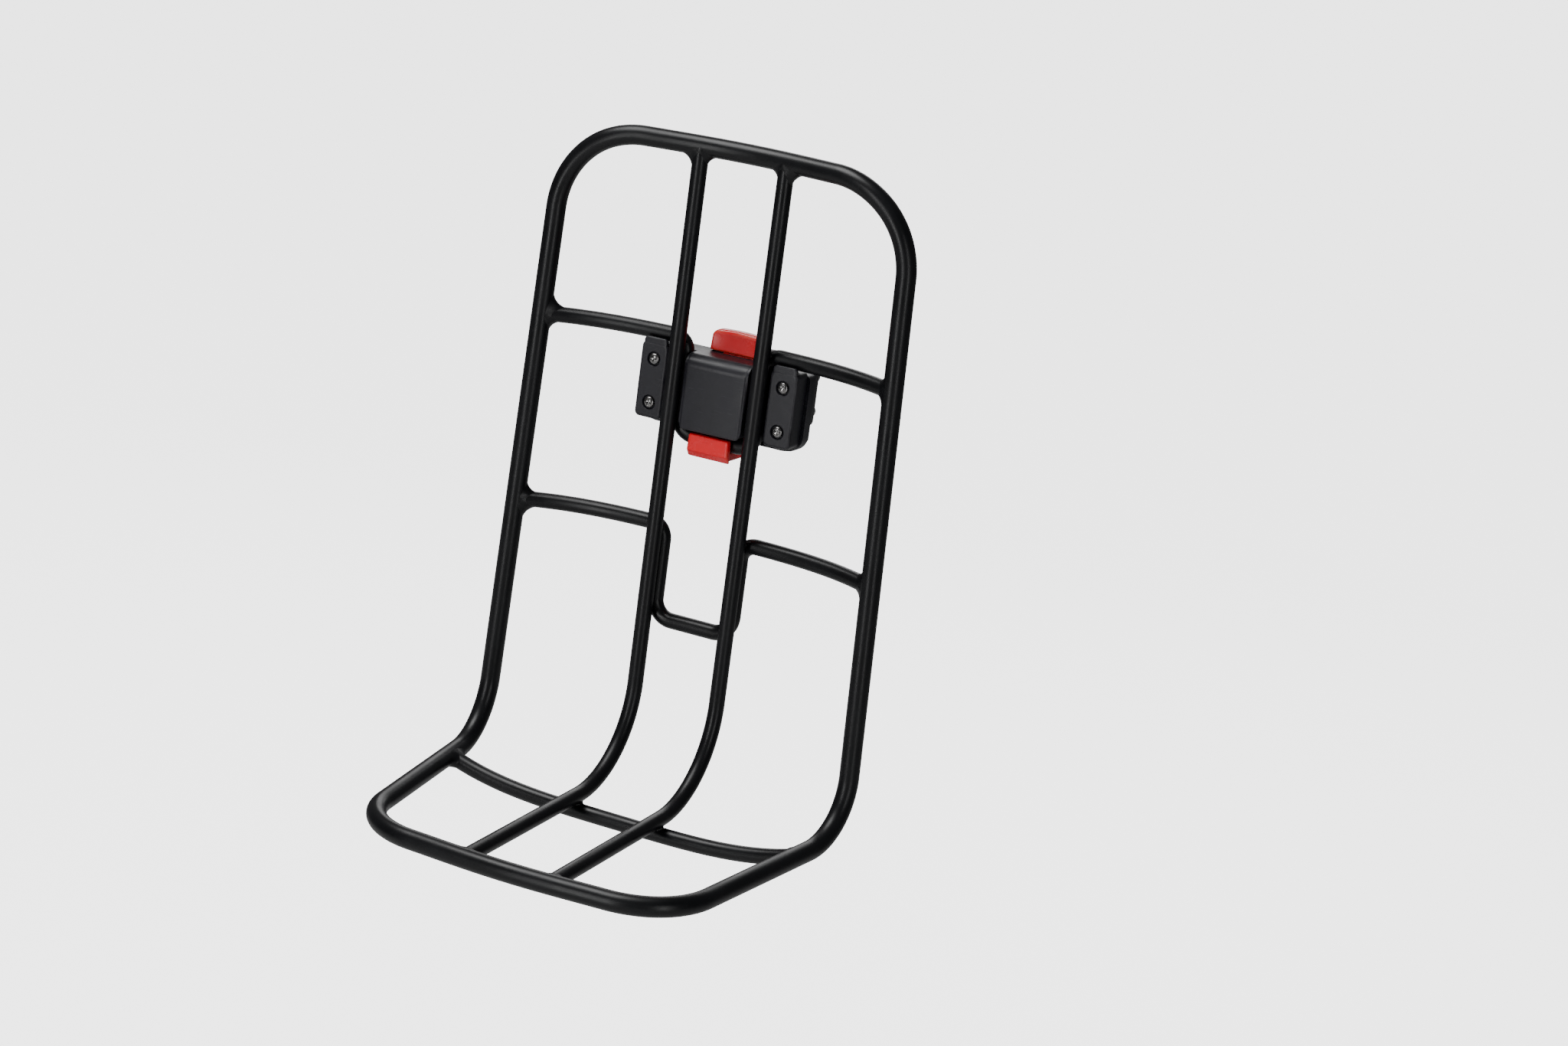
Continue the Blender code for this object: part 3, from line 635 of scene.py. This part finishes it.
def blended(tree, share, first, second):
    """Mixes a linked colour with a plain one by a linked share; returns the result."""
    made = node(tree, "ShaderNodeMix", data_type="RGBA")
    made.inputs[MIX_SECOND].default_value = (*second, 1.0)
    tree.links.new(share, made.inputs[MIX_FACTOR])
    tree.links.new(first, made.inputs[MIX_FIRST])
    return made.outputs[MIX_RESULT]


def finish(name, colour, second, rough, metallic=0.0, mottle=60.0, grain=900.0, depth=0.00002,
           strength=0.3, rough_swing=0.06, coat=0.0, specular=0.5, scuffs=0.0, worn=None):
    """A finish from layers of noise in the object's own space.

    Slow noise drifts the colour between two tones and the roughness by a swing; fast noise is the
    grain that the bump follows; thin stretched noise, cut at a threshold, gives scuffs; and rims
    marked as worn go lighter.
    """
    made = bpy.data.materials.new(name)
    made.use_nodes = True
    tree = made.node_tree
    link = tree.links.new
    shader = tree.nodes["Principled BSDF"]
    where = tree.nodes.new("ShaderNodeTexCoord").outputs["Object"]

    slow = node(tree, "ShaderNodeTexNoise", scale=mottle, detail=4.0, roughness=0.6)
    link(where, slow.inputs["Vector"])
    drift = spanned(tree, slow.outputs["Fac"], DRIFT_SPAN)
    tones = node(tree, "ShaderNodeMix", data_type="RGBA")
    tones.inputs[MIX_FIRST].default_value = (*colour, 1.0)
    tones.inputs[MIX_SECOND].default_value = (*second, 1.0)
    link(drift, tones.inputs[MIX_FACTOR])
    tone = tones.outputs[MIX_RESULT]

    if scuffs > 0.0:
        drag = node(tree, "ShaderNodeMapping")
        drag.inputs["Scale"].default_value = (0.25, 1.0, 3.0)
        drag.inputs["Rotation"].default_value = (0.1, 0.15, 0.2)
        link(where, drag.inputs["Vector"])
        scratch = node(tree, "ShaderNodeTexNoise", scale=SCUFF_SCALE, detail=3.0, roughness=0.7)
        link(drag.outputs["Vector"], scratch.inputs["Vector"])
        cut = spanned(tree, scratch.outputs["Fac"], SCUFF_SPAN, (0.0, scuffs))
        lighter = tuple(min(1.0, 3.5 * c + 0.02) for c in colour)
        tone = blended(tree, cut, tone, lighter)

    if worn is not None:
        edges = node(tree, "ShaderNodeAttribute", attribute_name="wear")
        patchy = node(tree, "ShaderNodeMath", operation="MULTIPLY")
        link(edges.outputs["Fac"], patchy.inputs[0])
        link(drift, patchy.inputs[1])
        tone = blended(tree, patchy.outputs["Value"], tone, worn)
    link(tone, shader.inputs["Base Color"])

    swing = (rough - rough_swing, rough + rough_swing)
    link(spanned(tree, slow.outputs["Fac"], SWING_SPAN, swing), shader.inputs["Roughness"])

    fast = node(tree, "ShaderNodeTexNoise", scale=grain, detail=3.0, roughness=0.55)
    link(where, fast.inputs["Vector"])
    bump = node(tree, "ShaderNodeBump")
    bump.inputs["Strength"].default_value = strength
    bump.inputs["Distance"].default_value = depth
    link(fast.outputs["Fac"], bump.inputs["Height"])
    link(bump.outputs["Normal"], shader.inputs["Normal"])

    shader.inputs["Metallic"].default_value = metallic
    shader.inputs["Specular IOR Level"].default_value = specular
    shader.inputs["Coat Weight"].default_value = coat
    shader.inputs["Coat Roughness"].default_value = COAT_ROUGHNESS
    return made


POWDER = finish("satin_powder_coat", (0.0034, 0.0035, 0.0045), (0.0052, 0.0053, 0.0068), 0.35,
                mottle=45.0, grain=950.0, depth=0.00006, strength=0.25, rough_swing=0.05,
                specular=0.33, scuffs=0.12)
PLATE = finish("grained_black_plastic", (0.0070, 0.0068, 0.0108), (0.0108, 0.0104, 0.0162), 0.41,
               mottle=70.0, grain=2600.0, depth=0.00005, strength=0.55, specular=0.42, scuffs=0.5,
               worn=(0.05, 0.05, 0.055))
ADAPTER = finish("adapter_black_plastic", (0.014, 0.014, 0.016), (0.021, 0.021, 0.024), 0.46,
                 mottle=80.0, grain=2200.0, depth=0.00005, strength=0.5, scuffs=0.3,
                 worn=(0.045, 0.045, 0.05))
RED = finish("glossy_red_plastic", (1.0, 0.002, 0.012), (0.93, 0.002, 0.010), 0.27, mottle=90.0,
             grain=1300.0, depth=0.00001, strength=0.05, rough_swing=0.04, coat=0.10,
             worn=(0.88, 0.10, 0.06))
RUBBER = finish("liner_black_rubber", (0.012, 0.012, 0.012), (0.02, 0.02, 0.019), 0.8,
                grain=1800.0, depth=0.00006, strength=0.5)
DARK_STEEL = finish("black_oxide_steel", (0.22, 0.22, 0.225), (0.32, 0.31, 0.30), 0.24,
                    metallic=1.0, mottle=500.0, grain=3000.0, depth=0.00002, strength=0.25,
                    worn=(0.45, 0.45, 0.44))
ZINC = finish("bright_zinc_plate", (0.58, 0.59, 0.60), (0.70, 0.70, 0.68), 0.28, metallic=1.0,
              mottle=400.0, grain=2500.0, depth=0.00002, strength=0.25)
SPRING = finish("drawn_spring_steel", (0.42, 0.42, 0.42), (0.55, 0.54, 0.52), 0.25, metallic=1.0,
                mottle=700.0, grain=3500.0, depth=0.00001, strength=0.3)


# ---------- the carrier's tubes

def make_tubes():
    """The hoop and the five rods, each as a ring carried along its line."""
    line = hoop_line()
    share = smooth((PANEL_Y - line[:, 1]) / HEEL_BEND)
    reference = unit(np.stack([np.zeros(len(line)), share - 1.0, share], axis=1))
    skin = carried_ring(line, HOOP_RADIUS, reference, HOOP_SIDES, closed=True)
    hoop = piece("hoop_tube", [(skin, True)], POWDER, "carrier")
    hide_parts("outer_hoop")
    rods = {
        "upper_cross_rod": (looped_line(UPPER_Z, UPPER_RISE), (0.0, 1.0, 0.0)),
        "lower_cross_rod": (looped_line(LOWER_Z, LOWER_RISE), (0.0, 1.0, 0.0)),
        "shelf_cross_rod": (shelf_rod_line(), (0.0, 1.0, 0.0)),
        "inner_rod_right": (inner_line(INNER_X), (1.0, 0.0, 0.0)),
        "inner_rod_left": (inner_line(-INNER_X), (1.0, 0.0, 0.0)),
    }
    for name, (path, facing) in rods.items():
        skin = carried_ring(path, ROD_RADIUS, facing, ROD_SIDES)
        rod = piece("fine_" + name, [(skin, False)], POWDER, "carrier")
        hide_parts(name)


def make_welds():
    """Fillets where rods end on the hoop, and drums where rods cross."""
    hoop = hoop_line()
    ends = [(looped_line(UPPER_Z, UPPER_RISE), PANEL_LEG),
            (looped_line(LOWER_Z, LOWER_RISE), PANEL_LEG), (shelf_rod_line(), SHELF_LEG),
            (inner_line(INNER_X), INNER_LEG), (inner_line(-INNER_X), INNER_LEG)]
    collars = []
    phase = FIRST_PHASE
    for line, leg in ends:
        for end, ahead in ((line[0], line[6]), (line[-1], line[-7])):
            collars.append(weld_collar(hoop, end, ahead - end, ROD_RADIUS, leg, phase))
            phase += COLLAR_PHASE
    saddles = []
    forward = shelf_point(0.0, 1.0) - shelf_point(0.0, 0.0)
    for x in (INNER_X, -INNER_X):
        touch_y = PANEL_Y + INNER_BACK + ROD_RADIUS
        crossings = [((x, touch_y, z + rise), (0.0, 0.0, 1.0), (1.0, 0.0, 0.0))
                     for z, rise in ((UPPER_Z, UPPER_RISE), (LOWER_Z, LOWER_RISE))]
        under_shelf = shelf_point(x, SHELF_ROD_AT, INNER_SAG + ROD_RADIUS)
        crossings.append((under_shelf, forward, (-1.0, 0.0, 0.0)))
        for contact, along, across in crossings:
            saddles.append(weld_saddle(contact, along, across, ROD_RADIUS, SADDLE_SIZE, phase))
            phase += SADDLE_PHASE
    piece("weld_fillets", [(grid, True) for grid in collars], POWDER, "carrier", sharp=70.0)
    piece("crossing_welds", [(grid, False) for grid in saddles], POWDER, "carrier", sharp=70.0)


# ---------- the mount plate

def softened(source, name, surface, body, width=0.4 * MM):
    """A merged copy of a plain node, with every hard edge rounded."""
    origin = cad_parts[source]
    mesh = origin.data.copy()
    mesh.transform(origin.matrix_world)
    bm = bmesh.new()
    bm.from_mesh(mesh)
    bmesh.ops.remove_doubles(bm, verts=bm.verts, dist=MERGE)
    bmesh.ops.dissolve_limit(bm, angle_limit=math.radians(1.0), verts=bm.verts, edges=bm.edges)
    bm.to_mesh(mesh)
    bm.free()
    copy = close(name, mesh, surface, body, 35.0)
    rounding = copy.modifiers.new("softened edges", "BEVEL")
    rounding.width = width
    rounding.segments = 2
    rounding.limit_method = "ANGLE"
    rounding.angle_limit = math.radians(40.0)
    rounding.harden_normals = True
    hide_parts(source)
    return copy


def make_block():
    """The hollow block between the inner rods, with a broad round at its top front edge.

    It is a prism up z; then every height is scaled by 1 - drop / H, where the drop follows a
    quarter circle of radius R from the front: R - sqrt(R^2 - (R - y)^2). A slight crown swells the
    front.
    """
    corners, radii = rectangle((-BLOCK_HALF, BLOCK_HALF), BLOCK_Y,
                               (2.2 * MM, 2.2 * MM, 0.4 * MM, 0.4 * MM))
    line = outline(corners, radii, 300)
    sides = outward(line)[:, 0] ** 2
    top = (2.0 * MM, 0.25 * MM, 0.25 * MM + 1.75 * MM * sides)
    low = (5.4 * MM, 0.9 * MM, 0.9 * MM + 4.5 * MM * sides)
    hollow = (BLOCK_WALL, BLOCK_Z[1] - BLOCK_WALL - 1.0 * MM)
    grid, wear = prism(line, BLOCK_Z[0], BLOCK_Z[1], low, top, rounds=12, face_rows=44,
                       wall_rows=30, hollow=hollow, spread=2.0)
    grid = place(grid, "xyz")
    behind = np.clip(grid[..., 1] - BLOCK_Y[0], 0.0, BLOCK_ROUND)
    drop = BLOCK_ROUND - np.sqrt(BLOCK_ROUND ** 2 - (BLOCK_ROUND - behind) ** 2)
    tall = BLOCK_Z[1] - BLOCK_Z[0]
    grid[..., 2] = BLOCK_Z[0] + (grid[..., 2] - BLOCK_Z[0]) * (1.0 - drop / tall)
    share = np.clip(1.0 - (grid[..., 0] / BLOCK_HALF) ** 2, 0.0, 1.0)
    near_front = smooth((BLOCK_Y[0] + CROWN_REACH - grid[..., 1]) / CROWN_REACH)
    grid[..., 1] -= BLOCK_CROWN * share * near_front
    block = piece("plate_block", [(grid, False)], PLATE, "carrier", wear=[wear], sharp=60.0)


def counterbore(x, z, at_x, at_z):
    """A round recess with a softened rim: its depth falls off over 0.5 mm at the radius."""
    distance = np.hypot(x - at_x, z - at_z)
    return RECESS_DEPTH * smooth((RECESS_RADIUS + 0.25 * MM - distance) / (0.5 * MM))


def make_covers():
    """The wings that hold the upper cross rod, each with a top lip and two recesses for screws."""
    for side, sign in SIDES:
        middle = sign * COVER_MID
        corners, radii = rectangle((middle - COVER_HALF, middle + COVER_HALF), COVER_Z,
                                   (2.5 * MM,) * 4)
        grid, wear = prism(outline(corners, radii, 420), COVER_Y[0], COVER_Y[1], 1.3 * MM, 0.3 * MM,
                           rounds=9, face_rows=70, wall_rows=3)
        grid = place(grid, "xzy")
        near = smooth((COVER_Y[0] + 2.5 * MM - grid[..., 1]) / (2.0 * MM))
        sunk = sum(counterbore(grid[..., 0], grid[..., 2], sign * SCREW_X, z) for z in SCREW_Z)
        grid[..., 1] += sunk * near
        width = (middle - COVER_HALF + 0.9 * MM, middle + COVER_HALF - 0.9 * MM)
        corners, radii = rectangle(width, (COVER_Z[1] - 3.5 * MM, LIP_TOP),
                                   (0.5 * MM, 0.5 * MM, 2.0 * MM, 2.0 * MM))
        lip, lip_wear = prism(outline(corners, radii, 160), COVER_Y[0] + 0.15 * MM,
                              COVER_Y[0] + 2.2 * MM, 0.8 * MM, 0.5 * MM, rounds=7)
        cover = piece("wing_" + side, [(grid, False), (place(lip, "xzy"), False)], PLATE, "carrier",
                      wear=[wear, lip_wear], sharp=60.0)
        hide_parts("clamp_cover_" + side)


def crossed(grid):
    """Sinks a crossed recess into a head: deep in the middle, shallower out along its four arms."""
    x, y, height = grid[..., 0], grid[..., 1], grid[..., 2]
    reach = np.maximum(np.abs(x), np.abs(y))
    width = np.minimum(np.abs(x), np.abs(y))
    arm = smooth((CROSS_WIDTH - width) / (0.16 * MM)) * smooth((CROSS_REACH - reach) / (0.3 * MM))
    deep = CROSS_DEPTH - 0.30 * reach
    on_top = smooth((height - 0.3 * MM) / (0.3 * MM))
    return np.stack([x, y, height - arm * deep * on_top], axis=-1)


def make_plate_screws():
    """Pan heads in the wings' recesses: nearly a quarter ellipse, with a short straight side."""
    side_top = 0.5 * MM
    dome = np.radians(np.linspace(90.0, 0.0, 44))
    rise = SCREW_RISE - side_top
    profile = [(SCREW_HEAD * math.cos(a), side_top + rise * math.sin(a) ** 0.9, None) for a in dome]
    profile[0] = (0.0, SCREW_RISE, None)
    profile += [(SCREW_HEAD, 0.1 * MM, None), (SCREW_HEAD - 0.1 * MM, 0.0, None),
                (SHANK_RADIUS, 0.0, None), (SHANK_RADIUS, -SCREW_LENGTH, None),
                (0.0, -SCREW_LENGTH, None)]
    for side, sign in SIDES:
        for level, z, turn in zip(("lower", "upper"), SCREW_Z, SCREW_TURNS):
            angle = turn + sign * 0.3
            grid = turned(profile, 120, crossed)
            x = grid[..., 0] * math.cos(angle) - grid[..., 1] * math.sin(angle)
            y = grid[..., 0] * math.sin(angle) + grid[..., 1] * math.cos(angle)
            grid = np.stack([x, y, grid[..., 2]], axis=-1)
            grid = stand(grid, (sign * SCREW_X, SCREW_SEAT, z), -1.0)
            screw = piece("pan_screw_%s_%s" % (side, level), [(grid, False)], DARK_STEEL, "carrier")
            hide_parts("plate_screw_%s_%s" % (side, level))


def nut_profile(height):
    """Half outline of a hexagon nut with a plain bore, its corners cut back at both ends."""
    flats = NUT_FLATS / 2.0
    mouth = NUT_BORE + 0.35 * MM
    face = flats - 0.1 * MM
    cut_back = flats - 0.02 * MM
    return [(NUT_BORE, 0.35 * MM, None), (mouth, 0.0, None), (face, 0.0, None),
            (0.0, 0.22 * MM, cut_back), (0.0, 0.5 * MM, flats), (0.0, height - 0.5 * MM, flats),
            (0.0, height - 0.22 * MM, cut_back), (face, height, None), (mouth, height, None),
            (NUT_BORE, height - 0.35 * MM, None)]


def make_nut(name, x, y, z, body):
    """One hexagon nut, as thick as the span y."""
    grid = stand(turned(nut_profile(y[1] - y[0]), 72), (x, y[0], z), 1.0)
    return piece(name, [(grid, True)], ZINC, body, sharp=25.0)


def make_nuts():
    """The nuts behind the mount plate's screws, and those of the post clamp."""
    for side, sign in SIDES:
        for level, z in zip(("lower", "upper"), SCREW_Z):
            made = make_nut("hex_plate_nut_%s_%s" % (side, level), sign * SCREW_X, PLATE_NUT_Y, z,
                            "carrier")
            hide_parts("plate_nut_%s_%s" % (side, level))
        for level, z in (("lower", -BOLT_Z), ("upper", BOLT_Z)):
            made = make_nut("hex_clamp_nut_%s_%s" % (side, level), sign * BOLT_X, CLAMP_NUT_Y, z,
                            "adapter")
            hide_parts("clamp_nut_%s_%s" % (side, level))


def make_clamp_bolts():
    """Socket heads with a hexagon recess and a knurl.

    The side's radius ripples by the knurl's depth, as 0.5 + 0.5 cos(count * angle).
    """
    profile = [(0.0, BOLT_TALL - 2.3 * MM, None), (0.0, BOLT_TALL - 2.0 * MM, BOLT_KEY),
               (0.0, BOLT_TALL - 0.2 * MM, BOLT_KEY), (0.0, BOLT_TALL, BOLT_KEY + 0.15 * MM),
               (BOLT_HEAD - 0.5 * MM, BOLT_TALL, None),
               (BOLT_HEAD - 0.15 * MM, BOLT_TALL - 0.12 * MM, None),
               (BOLT_HEAD, BOLT_TALL - 0.45 * MM, None), (BOLT_HEAD, 0.5 * MM, None),
               (BOLT_HEAD - 0.1 * MM, 0.1 * MM, None), (BOLT_HEAD - 0.3 * MM, 0.0, None),
               (SHANK_RADIUS, 0.0, None), (SHANK_RADIUS, -BOLT_LENGTH + 0.3 * MM, None),
               (SHANK_RADIUS - 0.3 * MM, -BOLT_LENGTH, None), (0.0, -BOLT_LENGTH, None)]

    def knurled(grid):
        around = np.arctan2(grid[..., 1], grid[..., 0])
        radius = np.hypot(grid[..., 0], grid[..., 1])
        side_wall = smooth((radius - BOLT_HEAD + 0.1 * MM) / (0.08 * MM))
        side_wall = side_wall * (grid[..., 2] > 0.3 * MM)
        ripple = 0.5 + 0.5 * np.cos(KNURL_COUNT * around)
        scale = 1.0 - KNURL_DEPTH / BOLT_HEAD * side_wall * ripple
        return grid * np.stack([scale, scale, np.ones_like(scale)], axis=-1)

    for side, sign in SIDES:
        for level, z in (("lower", -BOLT_Z), ("upper", BOLT_Z)):
            grid = stand(turned(profile, 216, knurled), (sign * BOLT_X, BOLT_SEAT, z), 1.0)
            bolt = piece("socket_bolt_%s_%s" % (side, level), [(grid, False)], ZINC, "adapter",
                         sharp=35.0)
            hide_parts("clamp_bolt_%s_%s" % (side, level))


# ---------- the latch

def make_button():
    """The push button: a rounded prism whose front rim is rounded most on top.

    With x across and t up it as shares, its top falls by 0.9 t^2 x^2 mm, its ends lean in by a
    twentieth of t, and its front is hollowed by 0.5 (1 - (2t - 1)^2)(1 - x^4) mm.
    """
    corners, radii = rectangle((-BUTTON_HALF, BUTTON_HALF), BUTTON_Z,
                               (0.8 * MM, 0.8 * MM, 3.4 * MM, 3.4 * MM))
    line = outline(corners, radii, 320)
    facing = outward(line)
    upward = np.maximum(0.0, facing[:, 1]) ** 2
    front_edge = 1.0 * MM + 1.4 * MM * upward
    grid, wear = prism(line, BUTTON_Y[0], BUTTON_Y[1], front_edge, 1.0 * MM, rounds=12,
                       face_rows=24, wall_rows=4)
    grid = place(grid, "xzy")
    share = np.clip((grid[..., 2] - BUTTON_Z[0]) / (BUTTON_Z[1] - BUTTON_Z[0]), 0.0, 1.0)
    across = grid[..., 0] / BUTTON_HALF
    grid[..., 2] -= 0.9 * MM * share ** 2 * across ** 2
    grid[..., 0] *= 1.0 - 0.05 * share
    front = smooth((BUTTON_Y[0] + 3.0 * MM - grid[..., 1]) / (3.0 * MM))
    dished = (1.0 - np.abs(2.0 * share - 1.0) ** 2) * (1.0 - across ** 4)
    grid[..., 1] += 0.5 * MM * front * dished
    button = piece("red_button", [(grid, False)], RED, "latch", wear=[wear])
    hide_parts("release_button")


def window_frame(outer, inner, near, far, edge):
    """A flat frame, closed both ways: a rectangle with rounded corners between two outlines."""
    middle = (outer.max(axis=0) + outer.min(axis=0)) / 2.0
    half = (outer.max(axis=0) - outer.min(axis=0)) / 2.0
    hole = (inner.max(axis=0) + inner.min(axis=0)) / 2.0
    hole_half = (inner.max(axis=0) - inner.min(axis=0)) / 2.0
    rows = []

    def row(shape, centre, size, shrink, depth):
        flat = centre + (shape - centre) * (1.0 - shrink / size)
        rows.append(np.concatenate([flat, np.full((len(flat), 1), depth)], axis=1))

    angles = [math.radians(t) for t in np.linspace(0.0, 90.0, 5)]
    for a in angles:
        row(outer, middle, half, edge * (1.0 - math.cos(a)), near + edge * (1.0 - math.sin(a)))
    for a in reversed(angles):
        row(inner, hole, hole_half, -edge * (1.0 - math.cos(a)), near + edge * (1.0 - math.sin(a)))
    for a in angles:
        row(inner, hole, hole_half, -edge * (1.0 - math.cos(a)), far - edge * (1.0 - math.sin(a)))
    for a in reversed(angles):
        row(outer, middle, half, edge * (1.0 - math.cos(a)), far - edge * (1.0 - math.sin(a)))
    return np.stack(rows)


def matched(corners, radii, count):
    """An outline whose four runs and corners take equal shares of points, to match another's."""
    share = count // 8
    line = []
    flat = [np.array((p, q, 0.0)) for p, q in corners]
    arcs = [corner_arc(flat[k - 1], flat[k], flat[(k + 1) % 4], radii[k]) for k in range(4)]
    for k in range(4):
        length = np.linalg.norm(np.diff(arcs[k], axis=0), axis=1).sum()
        # Half a step over, so that rounding can't change the number of points
        line.append(evenly(arcs[k], length / (share + 0.5)))
        following = arcs[(k + 1) % 4]
        run = np.linspace(0.0, 1.0, share + 2)[1:-1, None]
        line.append(arcs[k][-1] * (1.0 - run) + following[0] * run)
    return np.concatenate(line)[:, :2]


def make_hook():
    """The slide with its spring window, the stem under the plate, and the bevelled tab in front."""
    outer_corners, outer_radii = rectangle((-SLIDE_HALF, SLIDE_HALF), SLIDE_Z, (1.2 * MM,) * 4)
    inner_corners, inner_radii = rectangle((-WINDOW_HALF, WINDOW_HALF), WINDOW_Z, (1.0 * MM,) * 4)
    slide = window_frame(matched(outer_corners, outer_radii, 96),
                         matched(inner_corners, inner_radii, 96), SLIDE_Y[0], SLIDE_Y[1], 0.4 * MM)
    stem_corners, stem_radii = rectangle((-SLIDE_HALF + 0.1 * MM, SLIDE_HALF - 0.1 * MM),
                                         (TAB_Y[0] + 3.2 * MM, SLIDE_Y[1] - 0.8 * MM),
                                         (0.6 * MM,) * 4)
    stem, stem_wear = prism(outline(stem_corners, stem_radii, 160), TAB_Z[0] + 0.1 * MM, STEM_TOP,
                            0.5 * MM, 0.5 * MM)
    side = [(TAB_Y[0], TAB_Z[1]), (TAB_Y[0], TAB_Z[0] + TAB_BEVEL),
            (TAB_Y[0] + TAB_BEVEL, TAB_Z[0]), (TAB_Y[1], TAB_Z[0]), (TAB_Y[1], TAB_Z[1])]
    line = outline(side, [1.0 * MM, 1.1 * MM, 0.15 * MM, 0.15 * MM, 0.8 * MM], 220)
    tab, tab_wear = prism(line, -TAB_HALF, TAB_HALF, 0.9 * MM, 0.9 * MM, rounds=9, face_rows=6,
                          wall_rows=30)
    tab = place(tab, "yzx")
    tab[..., 0] *= 1.0 + 0.05 * (TAB_Z[1] - tab[..., 2]) / (TAB_Z[1] - TAB_Z[0])
    grids = [(place(slide, "xzy"), True), (place(stem, "xyz"), False), (tab, False)]
    hook = piece("red_hook", grids, RED, "latch",
                 wear=[np.zeros(slide.shape[:2]), stem_wear, tab_wear])
    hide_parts("latch_hook")


def make_spring():
    """A coil with a closed turn at each end: (R cos a, R sin a, h), where h rises with the angle a.

    It rises slowly at first and at last, and evenly between.
    """
    low, high = SPRING_Z
    share = np.linspace(0.0, 1.0, 420)
    angle = 2.0 * math.pi * SPRING_TURNS * share
    pitch = smooth(share / SPRING_SETTLE) * smooth((1.0 - share) / SPRING_SETTLE)
    height = np.cumsum(pitch + SPRING_CLOSED)
    height = low + (high - low) * (height - height[0]) / (height[-1] - height[0])
    middle = (SLIDE_Y[0] + SLIDE_Y[1]) / 2.0
    line = np.stack([SPRING_RADIUS * np.cos(angle), middle + SPRING_RADIUS * np.sin(angle), height],
                    axis=1)
    wire = carried_ring(line, WIRE_RADIUS, (0.0, 0.0, 1.0), 16)
    coil = piece("coil_spring", [(wire, False)], SPRING, "adapter")
    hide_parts("return_spring")
    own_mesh(coil)


# ---------- the adapter

def make_adapter():
    """The housing, the strap and the mount plate's base, softened, and rubber on the liners."""
    housing = softened("adapter_housing", "soft_adapter_housing", ADAPTER, "adapter", 0.5 * MM)
    strap = softened("clamp_strap", "soft_clamp_strap", ADAPTER, "adapter", 0.5 * MM)
    base = softened("mount_plate", "soft_mount_plate", PLATE, "carrier", 0.45 * MM)
    for end in ("front", "rear"):
        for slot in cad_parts["clamp_liner_" + end].material_slots:
            slot.material = RUBBER


# ---------- studio

def make_stage():
    """A pale floor that looks as bright as the backdrop and lights the object only softly."""
    pale = bpy.data.materials.new("pale_floor")
    pale.use_nodes = True
    tree = pale.node_tree
    shader = tree.nodes["Principled BSDF"]
    shader.inputs["Base Color"].default_value = (0.80, 0.80, 0.80, 1.0)
    shader.inputs["Roughness"].default_value = 0.9
    ray = tree.nodes.new("ShaderNodeLightPath")
    glow = tree.nodes.new("ShaderNodeEmission")
    scaled = tree.nodes.new("ShaderNodeMath")
    scaled.operation = "MULTIPLY"
    scaled.inputs[1].default_value = BACKDROP
    both = tree.nodes.new("ShaderNodeAddShader")
    tree.links.new(ray.outputs["Is Camera Ray"], scaled.inputs[0])
    tree.links.new(scaled.outputs["Value"], glow.inputs["Strength"])
    tree.links.new(shader.outputs["BSDF"], both.inputs[0])
    tree.links.new(glow.outputs["Emission"], both.inputs[1])
    tree.links.new(both.outputs["Shader"], tree.nodes["Material Output"].inputs["Surface"])
    corners = [(-FLOOR_HALF, -FLOOR_HALF, FLOOR_LEVEL), (FLOOR_HALF, -FLOOR_HALF, FLOOR_LEVEL),
               (FLOOR_HALF, FLOOR_HALF, FLOOR_LEVEL), (-FLOOR_HALF, FLOOR_HALF, FLOOR_LEVEL)]
    mesh = bpy.data.meshes.new("floor")
    mesh.from_pydata(corners, [], [(0, 1, 2, 3)])
    mesh.materials.append(pale)
    floor = bpy.data.objects.new("floor", mesh)
    bpy.context.scene.collection.objects.link(floor)


def add_light(name, place_at, size, power):
    """One rectangular soft box, turned towards the middle of the object."""
    data = bpy.data.lights.new(name, "AREA")
    data.shape = "RECTANGLE"
    data.size, data.size_y = size
    data.energy = power
    lamp = bpy.data.objects.new(name, data)
    lamp.location = place_at
    towards = Vector(LIGHT_AIM) - Vector(place_at)
    lamp.rotation_euler = towards.to_track_quat("-Z", "Y").to_euler()
    bpy.context.scene.collection.objects.link(lamp)


def make_light():
    """Soft boxes round the object; the backdrop is bright for the camera and dim as a light."""
    world = bpy.data.worlds.new("studio")
    bpy.context.scene.world = world
    world.use_nodes = True
    tree = world.node_tree
    ray = tree.nodes.new("ShaderNodeLightPath")
    level = tree.nodes.new("ShaderNodeMapRange")
    level.inputs["To Min"].default_value = AMBIENT
    level.inputs["To Max"].default_value = BACKDROP
    tree.links.new(ray.outputs["Is Camera Ray"], level.inputs["Value"])
    tree.links.new(level.outputs["Result"], tree.nodes["Background"].inputs["Strength"])
    tree.nodes["Background"].inputs["Color"].default_value = (1.0, 1.0, 1.0, 1.0)
    for name, place_at, size, power in SOFT_BOXES:
        add_light(name, place_at, size, power)


def make_camera():
    """The camera in front, to the rider's left and a little above, slightly rolled."""
    data = bpy.data.cameras.new("camera")
    data.sensor_width = SENSOR
    data.lens = LENS
    camera = bpy.data.objects.new("camera", data)
    ahead = Vector(AHEAD).normalized()
    up = Vector(RIGHTWARD).cross(ahead).normalized()
    right = ahead.cross(up).normalized()
    turn = Matrix((right, up, -ahead)).transposed()
    camera.matrix_world = Matrix.Translation(Vector(EYE)) @ turn.to_4x4()
    bpy.context.scene.collection.objects.link(camera)
    bpy.context.scene.camera = camera


make_tubes()
make_welds()
make_block()
make_covers()
make_plate_screws()
make_nuts()
make_clamp_bolts()
make_button()
make_hook()
make_spring()
make_adapter()
make_stage()
make_light()
make_camera()
